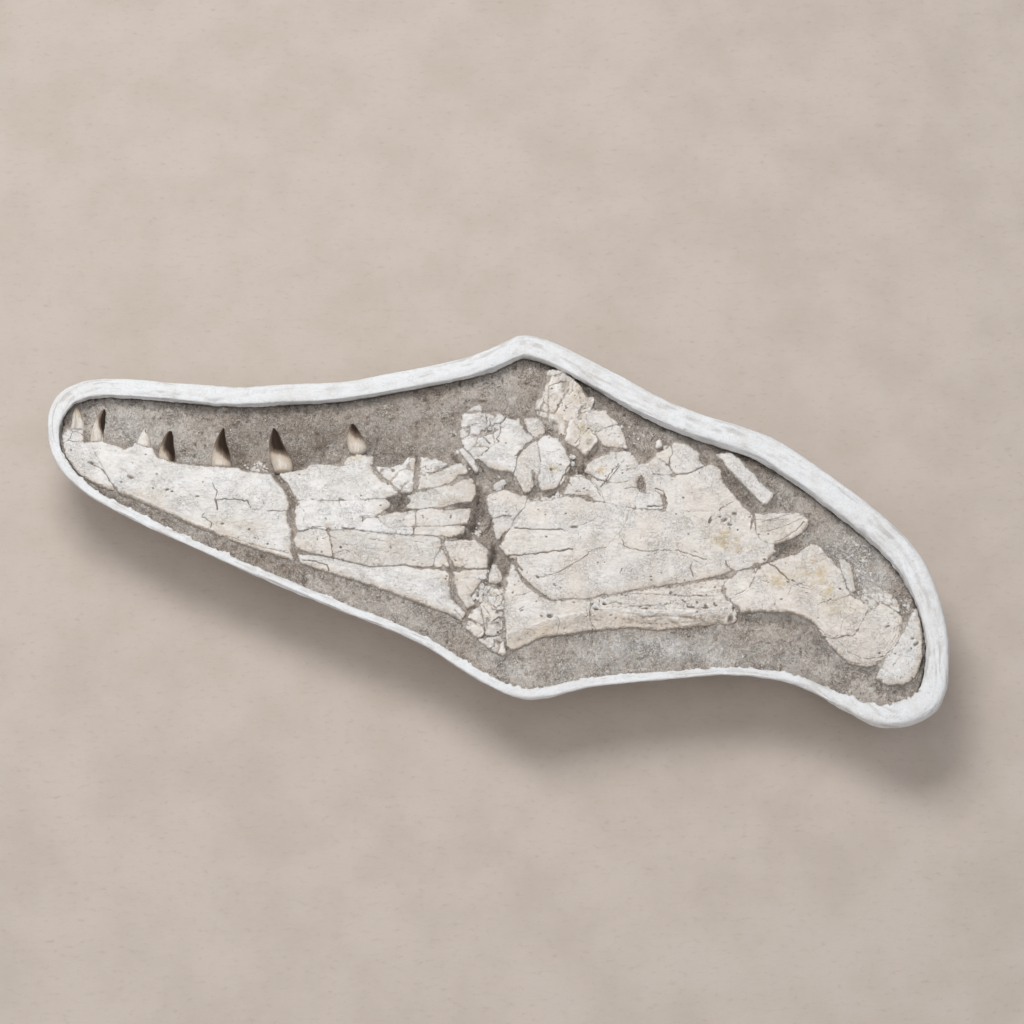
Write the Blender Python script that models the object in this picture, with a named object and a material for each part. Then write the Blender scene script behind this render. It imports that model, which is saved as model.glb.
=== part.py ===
"""Fossil lower jaw of a large mosasaur, lying in rock matrix in its plaster field jacket.

The jaw lies on its side. X runs from the tip of the jaw to its back end, Y from the lower edge
of the bone to the teeth, Z up. The jacket stands on its flat foot at Z = 0.

Lengths below are millimetres on the finished object; in_metres turns them into metres.
"""

import math

import bmesh
import bpy
import numpy as np
from mathutils import Vector

METRES_PER_MM = 0.001

# Levels above the floor
FLOOR = 0.0
ROCK_TOP = 100.0
BONE_SEAT = 100.3
JACKET_GIRTH = 106.0
CAVITY_FLOOR = 14.0
CUTTER_BOTTOM = 60.0
BLANK_BOTTOM = 70.0
BLANK_TOP = 150.0
CUTTER_TOP = 160.0
LEVEL_TOLERANCE = 0.01

# Jacket: how its outline is walked round, how it narrows to its foot and how its rim is rounded
RIM_STEPS = 104
CURVE_STEPS = 12
FOOT_FRACTION = 0.38
HULL_FLARE = 0.72
HULL_DEPTHS = (1.0, 0.88, 0.64, 0.32, 0.0)
RIM_TURNS = (40, 75, 110, 145)
CREST_RISE = 9.0
CREST_PER_WALL = 0.6
KEEL_REACH = 85.0
KEEL_STATIONS = 60

# Rock: its fit in the jacket and how it is worn hollow (share of the way out, depth)
CAVITY_DEPTHS = (0.0, 0.35, 0.68, 0.9, 1.0)
FIT_GAP = 0.8
FLOOR_GAP = 0.5
ROCK_WEAR = ((0.93, 1.6), (0.72, 1.0), (0.45, 0.0))

# Bone
BONE_TO_WALL = 1.4
PLATE_THICKNESS = 6.5
RIDGE_CUTS = (-0.5, 0.0, 0.5)
CROSS_CUT_SPACING = 75.0
LARGE_PLATE_AREA = 1500.0
SMALLEST_CRUMB_AREA = 25.0
SHORTEST_EDGE = 0.35
CUT_TOLERANCE = 0.01

# Teeth: sides and rings of each crown, and how it tapers
TOOTH_SIDES = 8
TOOTH_RINGS = 6
TOOTH_SEAT = 100.8
TOOTH_LAST_RING = 0.97
TOOTH_TAPER = 0.9
TAPER_POWER = 1.6
TOOTH_FLATNESS = 0.95

# Edges sharper than this many degrees stay hard
HARD_EDGE = 38.0

# The outer edge of the jacket from the tip of the jaw along the tooth side and back:
# x, y, and how thick the plaster wall is there
RIM = (
    (-566, 152, 17), (-557, 195, 18), (-520, 218, 19), (-464, 221, 20), (-400, 215, 20),
    (-330, 209, 20), (-262, 213, 21), (-195, 217, 21), (-106, 234, 21), (-29, 253, 22),
    (8, 270, 23), (42, 283, 25), (87, 269, 25), (138, 239, 25), (239, 181, 28), (340, 143, 29),
    (393, 109, 30), (439, 73, 31), (499, 18, 31), (535, -28, 30), (554, -80, 28),
    (563, -134, 28), (562, -180, 30), (551, -224, 33), (529, -246, 33), (497, -257, 33),
    (467, -254, 27), (426, -231, 18), (378, -203, 14), (330, -191, 13), (281, -188, 12),
    (231, -192, 12), (182, -197, 13), (120, -204, 14), (60, -219, 15), (20, -214, 14),
    (-27, -187, 13), (-101, -139, 13), (-201, -96, 13), (-302, -50, 12), (-403, -2, 12),
    (-494, 47, 13), (-540, 85, 14), (-559, 118, 15),
)

# The line that the hull of the jacket narrows towards, from the tip to the back
KEEL = ((-430, 120), (-200, 75), (40, 30), (250, -25), (430, -105), (480, -165))

# Every bone: its outline, the ridge of its crown (x, y to x, y, half width, height), the breaks
# through it (x, y, width at each bend) and its pieces (a point in each and its lift)
BONES = {
    "dentary": {
        "outline": (
            (-550, 131), (-548, 142), (-541, 154), (-519, 151), (-518, 132), (-495, 134),
            (-478, 129), (-463, 122), (-453, 131), (-430, 125), (-423, 110), (-401, 103),
            (-362, 98), (-322, 96), (-309, 91), (-277, 88), (-262, 88), (-240, 94), (-229, 103),
            (-207, 103), (-190, 100), (-184, 112), (-172, 117), (-150, 114), (-151, 101),
            (-140, 97), (-126, 101), (-114, 104), (-107, 113), (-91, 114), (-73, 111),
            (-57, 104), (-33, 103), (-31, 91), (-23, 79), (-20, 62), (-26, 46), (-27, 27),
            (-32, 12), (-36, 0), (-20, -7), (-5, -19), (-5, -45), (-8, -54), (-17, -66),
            (-25, -80), (-20, -91), (-31, -97), (-37, -113), (-53, -102), (-77, -94),
            (-109, -80), (-151, -64), (-200, -47), (-254, -28.5), (-288, -17), (-318, -6),
            (-345, 5), (-370, 15.5), (-410, 35), (-452, 54), (-497, 73), (-532, 93), (-543, 108),
        ),
        "ridge": (-540, 118, -10, -12, 30, 92, 10),
        "breaks": (
            ((-512, 137, 1.5), (-503, 116, 1.5), (-487, 86, 2), (-477, 70, 3), (-468, 52, 5)),
            ((-280, 104, 10), (-272, 84, 8), (-261, 70, 8), (-253, 56, 8), (-249, 46, 9),
             (-252, 34, 8), (-251, 20, 9), (-247, 9, 5), (-250, -3, 4), (-247, -18, 5),
             (-242, -38, 6)),
            ((-250, -14, 5), (-236, -20, 4), (-212, -24, 2.5), (-152, -39.5, 1.5),
             (-110, -38.5, 2), (-90, -43, 4), (-72, -42.5, 2.5), (-46, -45, 4)),
            ((-250, 48, 3), (-228, 49, 1.8), (-192, 48, 3), (-177, 49, 1.8), (-150, 51, 2.5),
             (-132, 51, 3), (-118, 52, 6)),
            ((-249, 8, 3), (-239, 7, 2.5), (-224, 11.5, 2), (-207, 8, 2.5), (-170, 8.3, 1.5),
             (-139, 4, 2), (-110, 1, 2.5), (-75, 0, 2.5), (-58, -4, 5)),
            ((-206, 11, 2.5), (-203, 0, 3), (-201, -12, 2), (-198, -32, 1.5)),
            ((-152, 103, 3), (-146, 90, 5), (-138, 80, 5), (-127, 73, 4), (-117, 61, 4)),
            ((-190, 103, 1.5), (-199, 86, 1.5), (-201, 74, 1.5), (-211, 62, 1.5),
             (-216, 47, 1.5)),
            ((-132, 51, 3), (-124, 49, 16), (-112, 48, 26), (-104, 47, 4)),
            ((-121, 45, 6), (-127, 38, 6), (-134, 32, 5), (-144, 27, 3), (-140, 19, 2),
             (-130, 11, 2), (-94, 12, 2)),
            ((-136, 33, 4), (-112, 36, 5), (-95, 35, 3), (-75, 38.5, 3), (-60, 37.5, 4),
             (-42, 42, 9), (-22, 43, 8)),
            ((-95.5, 37, 2), (-95.5, 12, 3), (-98, 10, 3), (-98, -1, 2)),
            ((-98, 12, 2), (-60, 13.2, 2), (-27, 14.5, 4)),
            ((-64, -3, 5), (-50, -5.5, 6), (-38, -1, 8), (-24, -3, 8)),
            ((-62, -3, 5), (-61, -15, 4), (-71, -29, 2), (-73, -44, 2)),
            ((-61, -14, 4), (-55, -28, 4), (-48, -46, 5)),
            ((-50, -45, 5), (-28, -46, 3), (-2, -45, 3)),
            ((-62, -40, 3), (-50, -50, 5), (-49, -68, 6), (-46, -80, 6), (-38, -90, 6),
             (-33, -97, 5), (-25, -101, 5)),
            ((-93, 118, 5), (-94.5, 104, 6), (-95, 88, 6), (-95, 76, 6), (-98, 63, 5)),
            ((-93, 89, 4), (-75, 90.5, 4), (-62, 97, 4), (-50, 104, 3), (-44, 110, 3)),
            ((-99, 63, 4), (-80, 66, 4), (-66, 69.5, 3), (-50, 75, 5), (-40, 84, 7),
             (-22, 88, 8)),
            ((-118, 59, 3), (-104, 57.5, 4), (-97, 63, 4)),
        ),
        "pieces": {
            "dentary_tip": (-525, 115, 0.0),
            "dentary_front": (-380, 60, 0.5),
            "dentary_rear_upper": (-230, 75, 0.0),
            "dentary_rear_socket": (-165, 75, 0.8),
            "dentary_rear_middle": (-200, 30, 0.3),
            "dentary_corner": (-118, 88, 1.5),
            "dentary_crest_chip": (-75, 103, 1.0),
            "dentary_crest_block": (-68, 82, 2.0),
            "splenial_front": (-228, -5, -0.3),
            "splenial_middle": (-150, -15, 0.0),
            "splenial_lower": (-130, -58, -0.6),
            "splenial_bar": (-65, 55, 2.2),
            "splenial_upper_block": (-60, 25, 1.0),
            "splenial_thin_block": (-70, 6, 0.2),
            "splenial_left_block": (-115, 22, 0.5),
            "splenial_large_block": (-30, -25, 1.2),
            "splenial_wedge": (-61, -36, 0.0),
            "splenial_lower_block": (-28, -60, 0.4),
        },
    },
    "crushed_splenial": {
        "outline": (
            (-3, -47), (2, -35), (7, -38), (13.5, -54), (14.5, -80), (14, -98), (12.5, -112),
            (12.5, -126), (11, -134), (17, -151), (19, -156), (13, -159.5), (0, -152),
            (-17, -138), (-32, -122.5), (-32, -110), (-26, -102), (-15, -91), (-16, -77),
            (-5, -60),
        ),
        "ridge": (0, -50, -5, -150, 26, 26, 3),
        "breaks": (
            ((-9, -63, 4), (5, -66, 5), (17, -62, 7)),
            ((-18, -92, 3), (-8, -85, 2), (1, -97, 2), (8, -99.5, 2), (18, -98, 3)),
            ((-18, -90, 3), (-12, -102, 2.5), (-10, -114, 2.5), (-8, -126, 3), (-10, -140, 2)),
            ((-36, -108, 3), (-22, -112, 2), (-12, -118, 2), (0, -117, 2.5), (16, -108, 3)),
            ((-20, -137, 2), (-8, -134, 3), (4, -134, 3), (14, -131, 4)),
        ),
        "pieces": {
            "crushed_chip_top": (5, -52, 0.8),
            "crushed_chip_upper": (3, -80, 1.8),
            "crushed_chip_centre": (0, -107, 0.2),
            "crushed_chip_left": (-18, -104, 0.0),
            "crushed_chip_edge": (-21, -124, 0.3),
            "crushed_chip_lower": (3, -125, 0.0),
            "crushed_chip_foot": (2, -146, 0.4),
        },
    },
    "prearticular_cluster": {
        "outline": (
            (-42, 146), (-40, 164), (-37, 176), (-26, 184.5), (-16, 188), (-12, 182),
            (-14, 175.5), (8, 174), (19, 169), (22, 165.5), (38, 166), (49, 169), (56, 169.5),
            (64, 163), (68, 156), (67, 147), (72, 142), (85, 137.5), (92, 123), (100, 103),
            (95, 87), (88, 73.5), (77, 66.5), (64, 64.5), (59, 69), (58, 87), (50, 67), (43, 62),
            (37, 65), (35, 74), (28, 86), (20, 91.5), (13, 91), (4, 93.5), (-5, 97), (-13, 105),
            (-21, 108), (-26, 116), (-33, 122.5), (-38, 130),
        ),
        "ridge": (-20, 145, 85, 100, 55, 50, 4),
        "breaks": (
            ((22, 172, 1.5), (15, 161.5, 2), (10.5, 156, 1.5), (10.5, 146, 2), (8.5, 138, 1.5),
             (10, 132, 1.8), (0, 126, 1.5), (-6, 122, 1.5), (-15, 110.5, 1.5), (-19, 101, 2)),
            ((36.5, 171, 5), (39, 158, 4.5), (42, 150, 4), (55, 136, 3)),
            ((56, 137, 3.5), (43, 127, 4), (31, 110, 1.5), (29.5, 97, 1.5), (25, 84, 2)),
            ((54, 136, 3), (60, 140, 4), (70, 146, 4)),
            ((56, 138, 3), (59, 125, 2), (61, 110, 1.2), (61.5, 98, 1.2), (57.5, 84, 4)),
        ),
        "pieces": {
            "coronoid_lump": (-20, 155, 0.5),
            "prearticular_high_plate": (18, 125, 4.0),
            "prearticular_corner": (52, 155, 2.0),
            "prearticular_middle": (45, 95, 1.5),
            "prearticular_broad_plate": (78, 105, 2.8),
        },
    },
    "coronoid": {
        "outline": (
            (71, 237), (66, 215), (63, 197), (55.5, 191.5), (53.5, 181), (56, 173.5),
            (69, 165.5), (75, 157), (80, 146), (89, 141), (92, 134), (104, 126), (111, 121.5),
            (118, 113.5), (124, 120.5), (130, 129), (136, 133), (143, 127.5), (152, 126.5),
            (172, 126.5), (170, 137), (167, 147), (162, 158), (155, 166.5), (149, 171),
            (146, 179), (137, 179.5), (126, 177), (130, 189), (131, 196), (127, 199),
            (121, 196), (117, 204), (111.5, 215), (103, 224), (88, 236),
        ),
        "ridge": (85, 225, 130, 140, 40, 40, 4),
        "breaks": (
            ((127, 180, 2), (119, 169, 1.2), (121, 158, 1.2), (124, 150, 2), (130, 146, 2.5),
             (137, 130, 4)),
            ((129, 146, 1.6), (138, 150.5, 1.4), (146, 154.5, 1.4), (164, 160, 2.5)),
        ),
        "pieces": {
            "coronoid_process": (90, 190, 2.0),
            "coronoid_rear_shard": (138, 165, 1.4),
            "coronoid_rear_lobe": (155, 138, 0.8),
        },
    },
    "surangular": {
        "outline": (
            (-7.5, 50), (-6, 58), (1, 62.5), (18, 66.5), (29, 61), (34, 59), (42, 58),
            (49, 51), (62, 51), (75, 52), (88, 62), (96, 76), (99, 86), (114, 90), (121, 104),
            (126, 107), (131, 112.5), (144, 117), (154, 121.5), (169, 123), (176, 123),
            (181, 115), (186, 105), (200, 108), (206, 115), (208, 119.5), (217, 123),
            (225, 131), (231, 135), (242, 133.5), (256, 125), (262, 118.5), (265, 107),
            (269, 102), (280.5, 105), (286.5, 101), (290, 94), (291.6, 83), (295.6, 73),
            (303, 63), (316, 45), (329, 34), (345, 34), (367, 35.5), (385, 36), (393, 31),
            (399, 24), (396, 16), (388, 7), (376, -1), (352, -11), (356, -20), (341, -33),
            (325, -39), (303, -45.5), (285, -51), (251, -58), (225, -63.5), (201, -65.5),
            (174, -70.5), (148, -76.5), (133, -78), (122, -82), (97, -81.5), (75, -84),
            (58, -72.5), (43, -58), (34, -44), (29, -30), (19, -26), (8, -12), (5, -2), (1, 10),
            (-0.5, 25), (-5, 35),
        ),
        "ridge": (0, 20, 340, -8, 62, 52, 7),
        "breaks": (
            ((47, 60, 2), (43.5, 50, 2), (41, 41, 2), (36.5, 35, 3), (31, 28, 2), (26.5, 22, 2),
             (25.5, 15, 2), (21, 9, 3), (15, 3, 4), (10, -6, 5), (3, -14, 5)),
            ((-3, 23, 2), (13, 28.5, 2.5), (22, 26, 1.5), (27, 21, 1.5)),
            ((68, 52, 3), (84, 59, 5), (96, 59, 3.5), (110, 57.5, 4), (121, 55, 5),
             (127, 50.5, 4), (143, 48.5, 2), (165, 42.5, 1.5), (178, 40, 2.5), (201, 38.5, 2.5),
             (216, 38.5, 4), (218, 48, 5), (213, 60, 4), (205, 66, 2.5)),
            ((208, 65, 2), (200, 62.5, 1.5), (187, 64, 2), (181, 58, 1.5), (180, 39, 2)),
            ((112, 91, 3), (124, 83, 3), (134.5, 70, 2), (138, 63, 1.4), (142, 47, 1.4)),
            ((111, 93, 3), (126, 86.5, 3), (136, 82, 2.5), (148, 78.5, 2)),
            ((157, 126, 2), (157, 115, 2), (158.5, 106, 1.5), (161, 101, 2), (146, 79.5, 2.5),
             (143, 74, 1)),
            ((188.5, 90, 1), (189, 80, 8), (188, 72, 11), (191, 66, 5), (193, 62, 2)),
            ((199, 111, 1.4), (200, 98, 1.4), (203, 90, 2), (218, 88, 2), (230, 88.5, 3),
             (247, 90.5, 2.5), (254, 93, 2.5), (272, 103, 1.4)),
            ((231, 87, 2.5), (224, 101, 2.5), (225, 111, 2.5), (229, 118, 2.5), (226, 135, 3)),
            ((203, 115.5, 1.5), (211, 111.5, 2), (218, 107, 2), (225, 100, 2)),
            ((328, 37, 4), (330, 20, 3.5), (331, 4, 2), (338, -6, 1.4), (355, -12, 1.6)),
        ),
        "pieces": {
            "surangular_main": (150, -20, 0.0),
            "surangular_front_plate": (18, 45, 1.2),
            "surangular_front_wedge": (12, 14, 0.3),
            "surangular_upper_shard": (110, 72, 0.8),
            "surangular_broken_plate": (138, 98, 1.0),
            "surangular_white_chip": (198, 51, 2.2),
            "surangular_rear_shard": (212, 98, 0.8),
            "surangular_crest_chip": (215, 116, 1.4),
            "surangular_rear_plate": (245, 112, 1.8),
            "surangular_fan": (360, 16, 0.6),
        },
    },
    "angular": {
        "outline": (
            (26, -33), (31, -46), (40, -62), (56, -77), (74, -88), (97, -85.5), (122, -86),
            (134, -82), (148, -80.5), (174, -74.5), (201, -69.5), (225, -67.5), (251, -62),
            (285, -55), (296, -53), (289, -61), (285.5, -66), (286.5, -75), (290.5, -85),
            (300, -93.5), (303, -100), (305, -108), (303, -112), (294, -115), (285, -114.5),
            (280, -111.5), (275, -115.5), (244, -119.5), (202, -122.5), (175, -119.5),
            (150, -122), (125, -124), (90, -129.5), (64, -132.5), (43, -142.5), (29, -149.5),
            (22, -149.5), (17, -141), (16, -108), (17, -69), (18, -54), (23, -38),
        ),
        "ridge": (20, -92, 300, -84, 48, 24, 6),
        "breaks": (
            ((119, -82, 3), (124, -93, 2.5), (120, -104, 1.5), (126, -128, 2)),
        ),
        "pieces": {
            "angular_plate": (60, -110, 0.0),
            "angular_fibrous_strip": (210, -95, -0.4),
        },
    },
    "articular": {
        "outline": (
            (289.5, -66), (293, -60), (301, -52), (307, -47), (325, -42.5), (341, -36),
            (357, -27.5), (381, -19), (391, -12), (402.7, -4), (410.6, -10), (424, -27.5),
            (430, -36), (435, -47), (438.5, -59), (441, -70), (449, -78), (463, -90),
            (471, -99), (484.5, -90), (500, -100), (508, -105), (510, -112), (503, -136.5),
            (489.6, -159.5), (484, -165), (473, -172), (462, -175), (441, -170.7),
            (427, -158), (408, -135), (401, -122), (395, -115), (382, -108), (369, -103.5),
            (334, -103), (308, -103), (306, -95.5), (299, -89.5), (291.5, -79.5),
        ),
        "ridge": (300, -78, 470, -135, 44, 46, 8),
        "breaks": (
            ((333, -39, 3), (328.5, -50, 1.4), (327, -58, 1.4), (317, -76, 1.4),
             (304, -83.5, 1.4), (291, -86, 1.6)),
            ((402, -135, 1.6), (422, -139, 2), (440, -133.6, 1.6), (447, -135, 1.6),
             (462, -109, 1.6), (473, -94, 2)),
        ),
        "pieces": {
            "articular_front_plate": (308, -66, -0.3),
            "articular_main": (390, -70, 0.5),
            "retroarticular_end": (465, -145, 0.3),
        },
    },
    "rear_lump": {
        "outline": (
            (458, -83), (462, -71), (467, -65.5), (477.5, -65), (488, -70.5), (499, -76),
            (505, -88), (508, -101), (501, -97.5), (493, -91.5), (485, -87), (471, -96),
            (465, -90),
        ),
        "ridge": (462, -76, 500, -88, 18, 18, 3),
        "breaks": (),
        "pieces": {"retroarticular_crumbled_edge": (480, -76, -1.5)},
    },
    "slender_bone": {
        "outline": (
            (283, 117), (292, 108), (296.6, 98), (307.6, 84), (322, 67.5), (335.6, 52),
            (341, 45.5), (346, 46.5), (353.5, 56.5), (355.5, 62), (352.4, 66), (343.6, 71.6),
            (333, 87), (320.6, 101), (314, 110), (300, 121),
        ),
        "ridge": (296, 112, 346, 56, 14, 14, 4),
        "breaks": (),
        "pieces": {"slender_bone": (325, 80, 1.0)},
    },
    "sliver": {
        "outline": (
            (433, -28), (440, -27.5), (447, -32.5), (449.5, -42), (453, -71), (448, -73),
            (443, -66), (440.5, -57), (437, -46),
        ),
        "ridge": (438, -30, 450, -70, 8, 8, 2),
        "breaks": (),
        "pieces": {"rib_sliver": (445, -48, -1.0)},
    },
    "loose_plate": {
        "outline": (
            (521.5, -101), (510, -128), (501, -145), (493, -157), (481.5, -171), (472, -186),
            (473, -191), (486, -200.5), (500, -199), (512.5, -195), (521, -187.5), (527, -173),
            (531, -159), (532, -140), (531, -122), (528, -105), (526, -97),
        ),
        "ridge": (524, -105, 490, -190, 22, 22, 5),
        "breaks": (),
        "pieces": {"loose_plate": (512, -160, 2.0)},
    },
    "white_knob": {
        "outline": ((206.6, 127), (208.5, 135), (211.5, 138.4), (215, 136), (216, 128), (209, 124)),
        "ridge": (208, 130, 214, 133, 6, 6, 3),
        "breaks": (),
        "pieces": {"white_knob": (211, 131, 2.0)},
    },
    "channel_splinter": {
        "outline": ((-44, 124), (-38, 126), (-24, 110.5), (-17, 95), (-21, 91), (-31, 106)),
        "ridge": (-40, 124, -20, 94, 5, 5, 2),
        "breaks": (),
        "pieces": {"channel_splinter": (-32, 109, 0.0)},
    },
}

# Teeth: piece each grows from, base x, y, tip x, y, radius at the base, share of the height
# that keeps the base's thickness, and how far the crown bows towards the back of the jaw
TEETH = (
    ("dentary_tip", -529, 146, -532, 186, 9.5, 0.30, 0.5),
    ("dentary_front", -501, 130, -496, 184, 8.2, 0.35, 2.0),
    ("dentary_front", -440, 120, -441, 154, 11.0, 0.45, 1.0),
    ("dentary_front", -411, 98, -410, 154, 11.0, 0.35, -2.0),
    ("dentary_front", -341, 93, -344, 158, 14.5, 0.25, 1.0),
    ("dentary_rear_upper", -262, 89, -278, 156, 12.0, 0.40, -1.0),
    ("dentary_rear_socket", -171, 108, -178, 160, 13.0, 0.40, 1.5),
)

# Colour, roughness and metallic value
FINISHES = {
    "plaster": ((0.86, 0.86, 0.85), 0.78, 0.0),
    "rock_matrix": ((0.36, 0.32, 0.28), 0.95, 0.0),
    "fossil_bone": ((0.78, 0.73, 0.66), 0.72, 0.0),
    "toothed_bone": ((0.76, 0.70, 0.62), 0.6, 0.0),
}


def in_metres(x, y, z):
    """A point in metres from one in millimetres."""
    return Vector((x, y, z)) * METRES_PER_MM


def clear_scene():
    """Remove whatever is there already, so that the model starts alone."""
    for thing in list(bpy.data.objects):
        bpy.data.objects.remove(thing, do_unlink=True)


def make_material(name):
    """A surface with one of the finishes."""
    colour, roughness, metallic = FINISHES[name]
    material = bpy.data.materials.new(name)
    material.use_nodes = True
    shader = material.node_tree.nodes["Principled BSDF"]
    shader.inputs["Base Color"].default_value = (*colour, 1.0)
    shader.inputs["Roughness"].default_value = roughness
    shader.inputs["Metallic"].default_value = metallic
    return material


def add_object(name, bm, material=None):
    """Make a named object of a finished shape, with its faces pointing out."""
    bmesh.ops.recalc_face_normals(bm, faces=bm.faces)
    mesh = bpy.data.meshes.new(name)
    bm.to_mesh(mesh)
    bm.free()
    thing = bpy.data.objects.new(name, mesh)
    if material:
        mesh.materials.append(material)
    bpy.context.scene.collection.objects.link(thing)
    return thing


def smooth(mesh):
    """Shade a surface smooth, with its hard edges kept."""
    mesh.shade_smooth()
    mesh.set_sharp_from_angle(angle=math.radians(HARD_EDGE))


def closed_curve(points, count):
    """Walk a closed smooth curve through the points in even steps."""
    points = np.array(points, dtype=float)
    before = np.roll(points, 1, axis=0)
    after = np.roll(points, -1, axis=0)
    beyond = np.roll(points, -2, axis=0)
    spans = []
    for t in np.linspace(0.0, 1.0, CURVE_STEPS, endpoint=False):
        spans.append(0.5 * (2 * points + (after - before) * t
                            + (2 * before - 5 * points + 4 * after - beyond) * t ** 2
                            + (3 * points - before - 3 * after + beyond) * t ** 3))
    dense = np.stack(spans, axis=1).reshape(-1, points.shape[1])
    loop = np.vstack([dense, dense[:1]])
    steps = np.linalg.norm(np.diff(loop[:, :2], axis=0), axis=1)
    along = np.concatenate([[0.0], np.cumsum(steps)])
    stations = np.linspace(0.0, along[-1], count, endpoint=False)
    return np.stack([np.interp(stations, along, loop[:, k]) for k in range(loop.shape[1])], axis=1)


def outward(loop):
    """The unit normal of a clockwise loop at each of its points, pointing away from its inside."""
    tangent = np.roll(loop, -1, axis=0) - np.roll(loop, 1, axis=0)
    normal = np.stack([-tangent[:, 1], tangent[:, 0]], axis=1)
    return normal / np.linalg.norm(normal, axis=1, keepdims=True)


def keel_feet(loop):
    """For each point of a loop, the smooth nearest place on the keel line."""
    keel = np.array(KEEL, dtype=float)
    stations = np.linspace(0, len(keel) - 1, KEEL_STATIONS)
    line = np.stack([np.interp(stations, range(len(keel)), keel[:, k]) for k in (0, 1)], axis=1)
    distance = np.linalg.norm(loop[:, None, :] - line[None, :, :], axis=2)
    nearest = distance.min(axis=1, keepdims=True)
    weight = np.exp(-(distance ** 2 - nearest ** 2) / KEEL_REACH ** 2)
    return (weight @ line) / weight.sum(axis=1, keepdims=True)


def ring(loop, height):
    """The points of a loop at a height, or each at its own height, as x, y, z rows."""
    return np.column_stack([loop, np.broadcast_to(height, len(loop))])


def hull_rings(loop, top, bottom, depths):
    """Rings of a hull that flares up from its flat foot at the keel line to the loop."""
    feet = keel_feet(loop)
    rings = []
    for depth in depths:
        round_part = 1.0 - math.sqrt(1.0 - depth ** 2)
        inward = HULL_FLARE * depth + (1.0 - HULL_FLARE) * round_part
        share = 1.0 - (1.0 - FOOT_FRACTION) * inward
        rings.append(ring(feet + (loop - feet) * share, top + (bottom - top) * depth))
    return rings


def loft(name, rings, material):
    """A closed solid through the rings, with its first and last ring capped."""
    bm = bmesh.new()
    layers = [[bm.verts.new(in_metres(*point)) for point in layer] for layer in rings]
    count = len(layers[0])
    for lower, upper in zip(layers, layers[1:]):
        for i in range(count):
            j = (i + 1) % count
            bm.faces.new((lower[i], lower[j], upper[j], upper[i]))
    bm.faces.new(layers[0])
    bm.faces.new(layers[-1])
    bmesh.ops.triangulate(bm, faces=bm.faces, ngon_method="EAR_CLIP")
    return add_object(name, bm, material)


def rim_loops():
    """The jacket's outer edge, its wall thickness and the inner face of its wall."""
    rim = closed_curve(RIM, RIM_STEPS)
    outer = rim[:, :2]
    wall = rim[:, 2]
    inner = outer - outward(outer) * wall[:, None]
    return outer, inner, wall


def make_jacket(material):
    """The plaster shell: a boat-shaped hull on a flat foot, with a rounded rim."""
    outer, inner, wall = rim_loops()
    middle = (outer + inner) / 2
    crest = ROCK_TOP + CREST_RISE + CREST_PER_WALL * wall
    rings = hull_rings(outer, JACKET_GIRTH, FLOOR, HULL_DEPTHS)
    for angle in RIM_TURNS:
        turn = math.radians(angle)
        loop = middle + (outer - middle) * math.cos(turn)
        rings.append(ring(loop, JACKET_GIRTH + (crest - JACKET_GIRTH) * math.sin(turn)))
    rings.append(ring(inner, JACKET_GIRTH))
    rings.extend(hull_rings(inner, ROCK_TOP, CAVITY_FLOOR, CAVITY_DEPTHS))
    jacket = loft("plaster_jacket", rings, material)
    smooth(jacket.data)


def make_rock(material):
    """The rock that fills the jacket, worn a little hollow towards the wall."""
    _, inner, _ = rim_loops()
    loop = inner - outward(inner) * FIT_GAP
    rings = hull_rings(loop, ROCK_TOP, CAVITY_FLOOR + FLOOR_GAP, CAVITY_DEPTHS[::-1])
    feet = keel_feet(loop)
    for share, depth in ROCK_WEAR:
        rings.append(ring(feet + (loop - feet) * share, ROCK_TOP - depth))
    rock = loft("rock_matrix", rings, material)
    smooth(rock.data)


def prism(name, outline, bottom, top):
    """A straight-sided solid on an outline."""
    bm = bmesh.new()
    base = bm.faces.new([bm.verts.new(in_metres(x, y, bottom)) for x, y in outline])
    grown = bmesh.ops.extrude_face_region(bm, geom=[base])
    raised = [item for item in grown["geom"] if isinstance(item, bmesh.types.BMVert)]
    bmesh.ops.translate(bm, verts=raised, vec=in_metres(0, 0, top - bottom))
    return add_object(name, bm)


def break_outline(route):
    """The outline of a break: its route, opened to both sides by half its width."""
    route = np.array(route, dtype=float)
    direction = np.gradient(route[:, :2], axis=0)
    direction /= np.linalg.norm(direction, axis=1, keepdims=True)
    side = np.stack([-direction[:, 1], direction[:, 0]], axis=1) * route[:, 2:] / 2
    return np.vstack([route[:, :2] + side, (route[:, :2] - side)[::-1]])


def combine(thing, operation, other):
    """Cut a solid with another one, keep what both share, or unite them."""
    modifier = thing.modifiers.new(operation.lower(), "BOOLEAN")
    modifier.operation = operation
    modifier.solver = "EXACT"
    modifier.object = other


def combined_mesh(thing):
    """The shape of a solid with everything that was combined with it worked in."""
    graph = bpy.context.evaluated_depsgraph_get()
    return bpy.data.meshes.new_from_object(thing.evaluated_get(graph))


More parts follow.
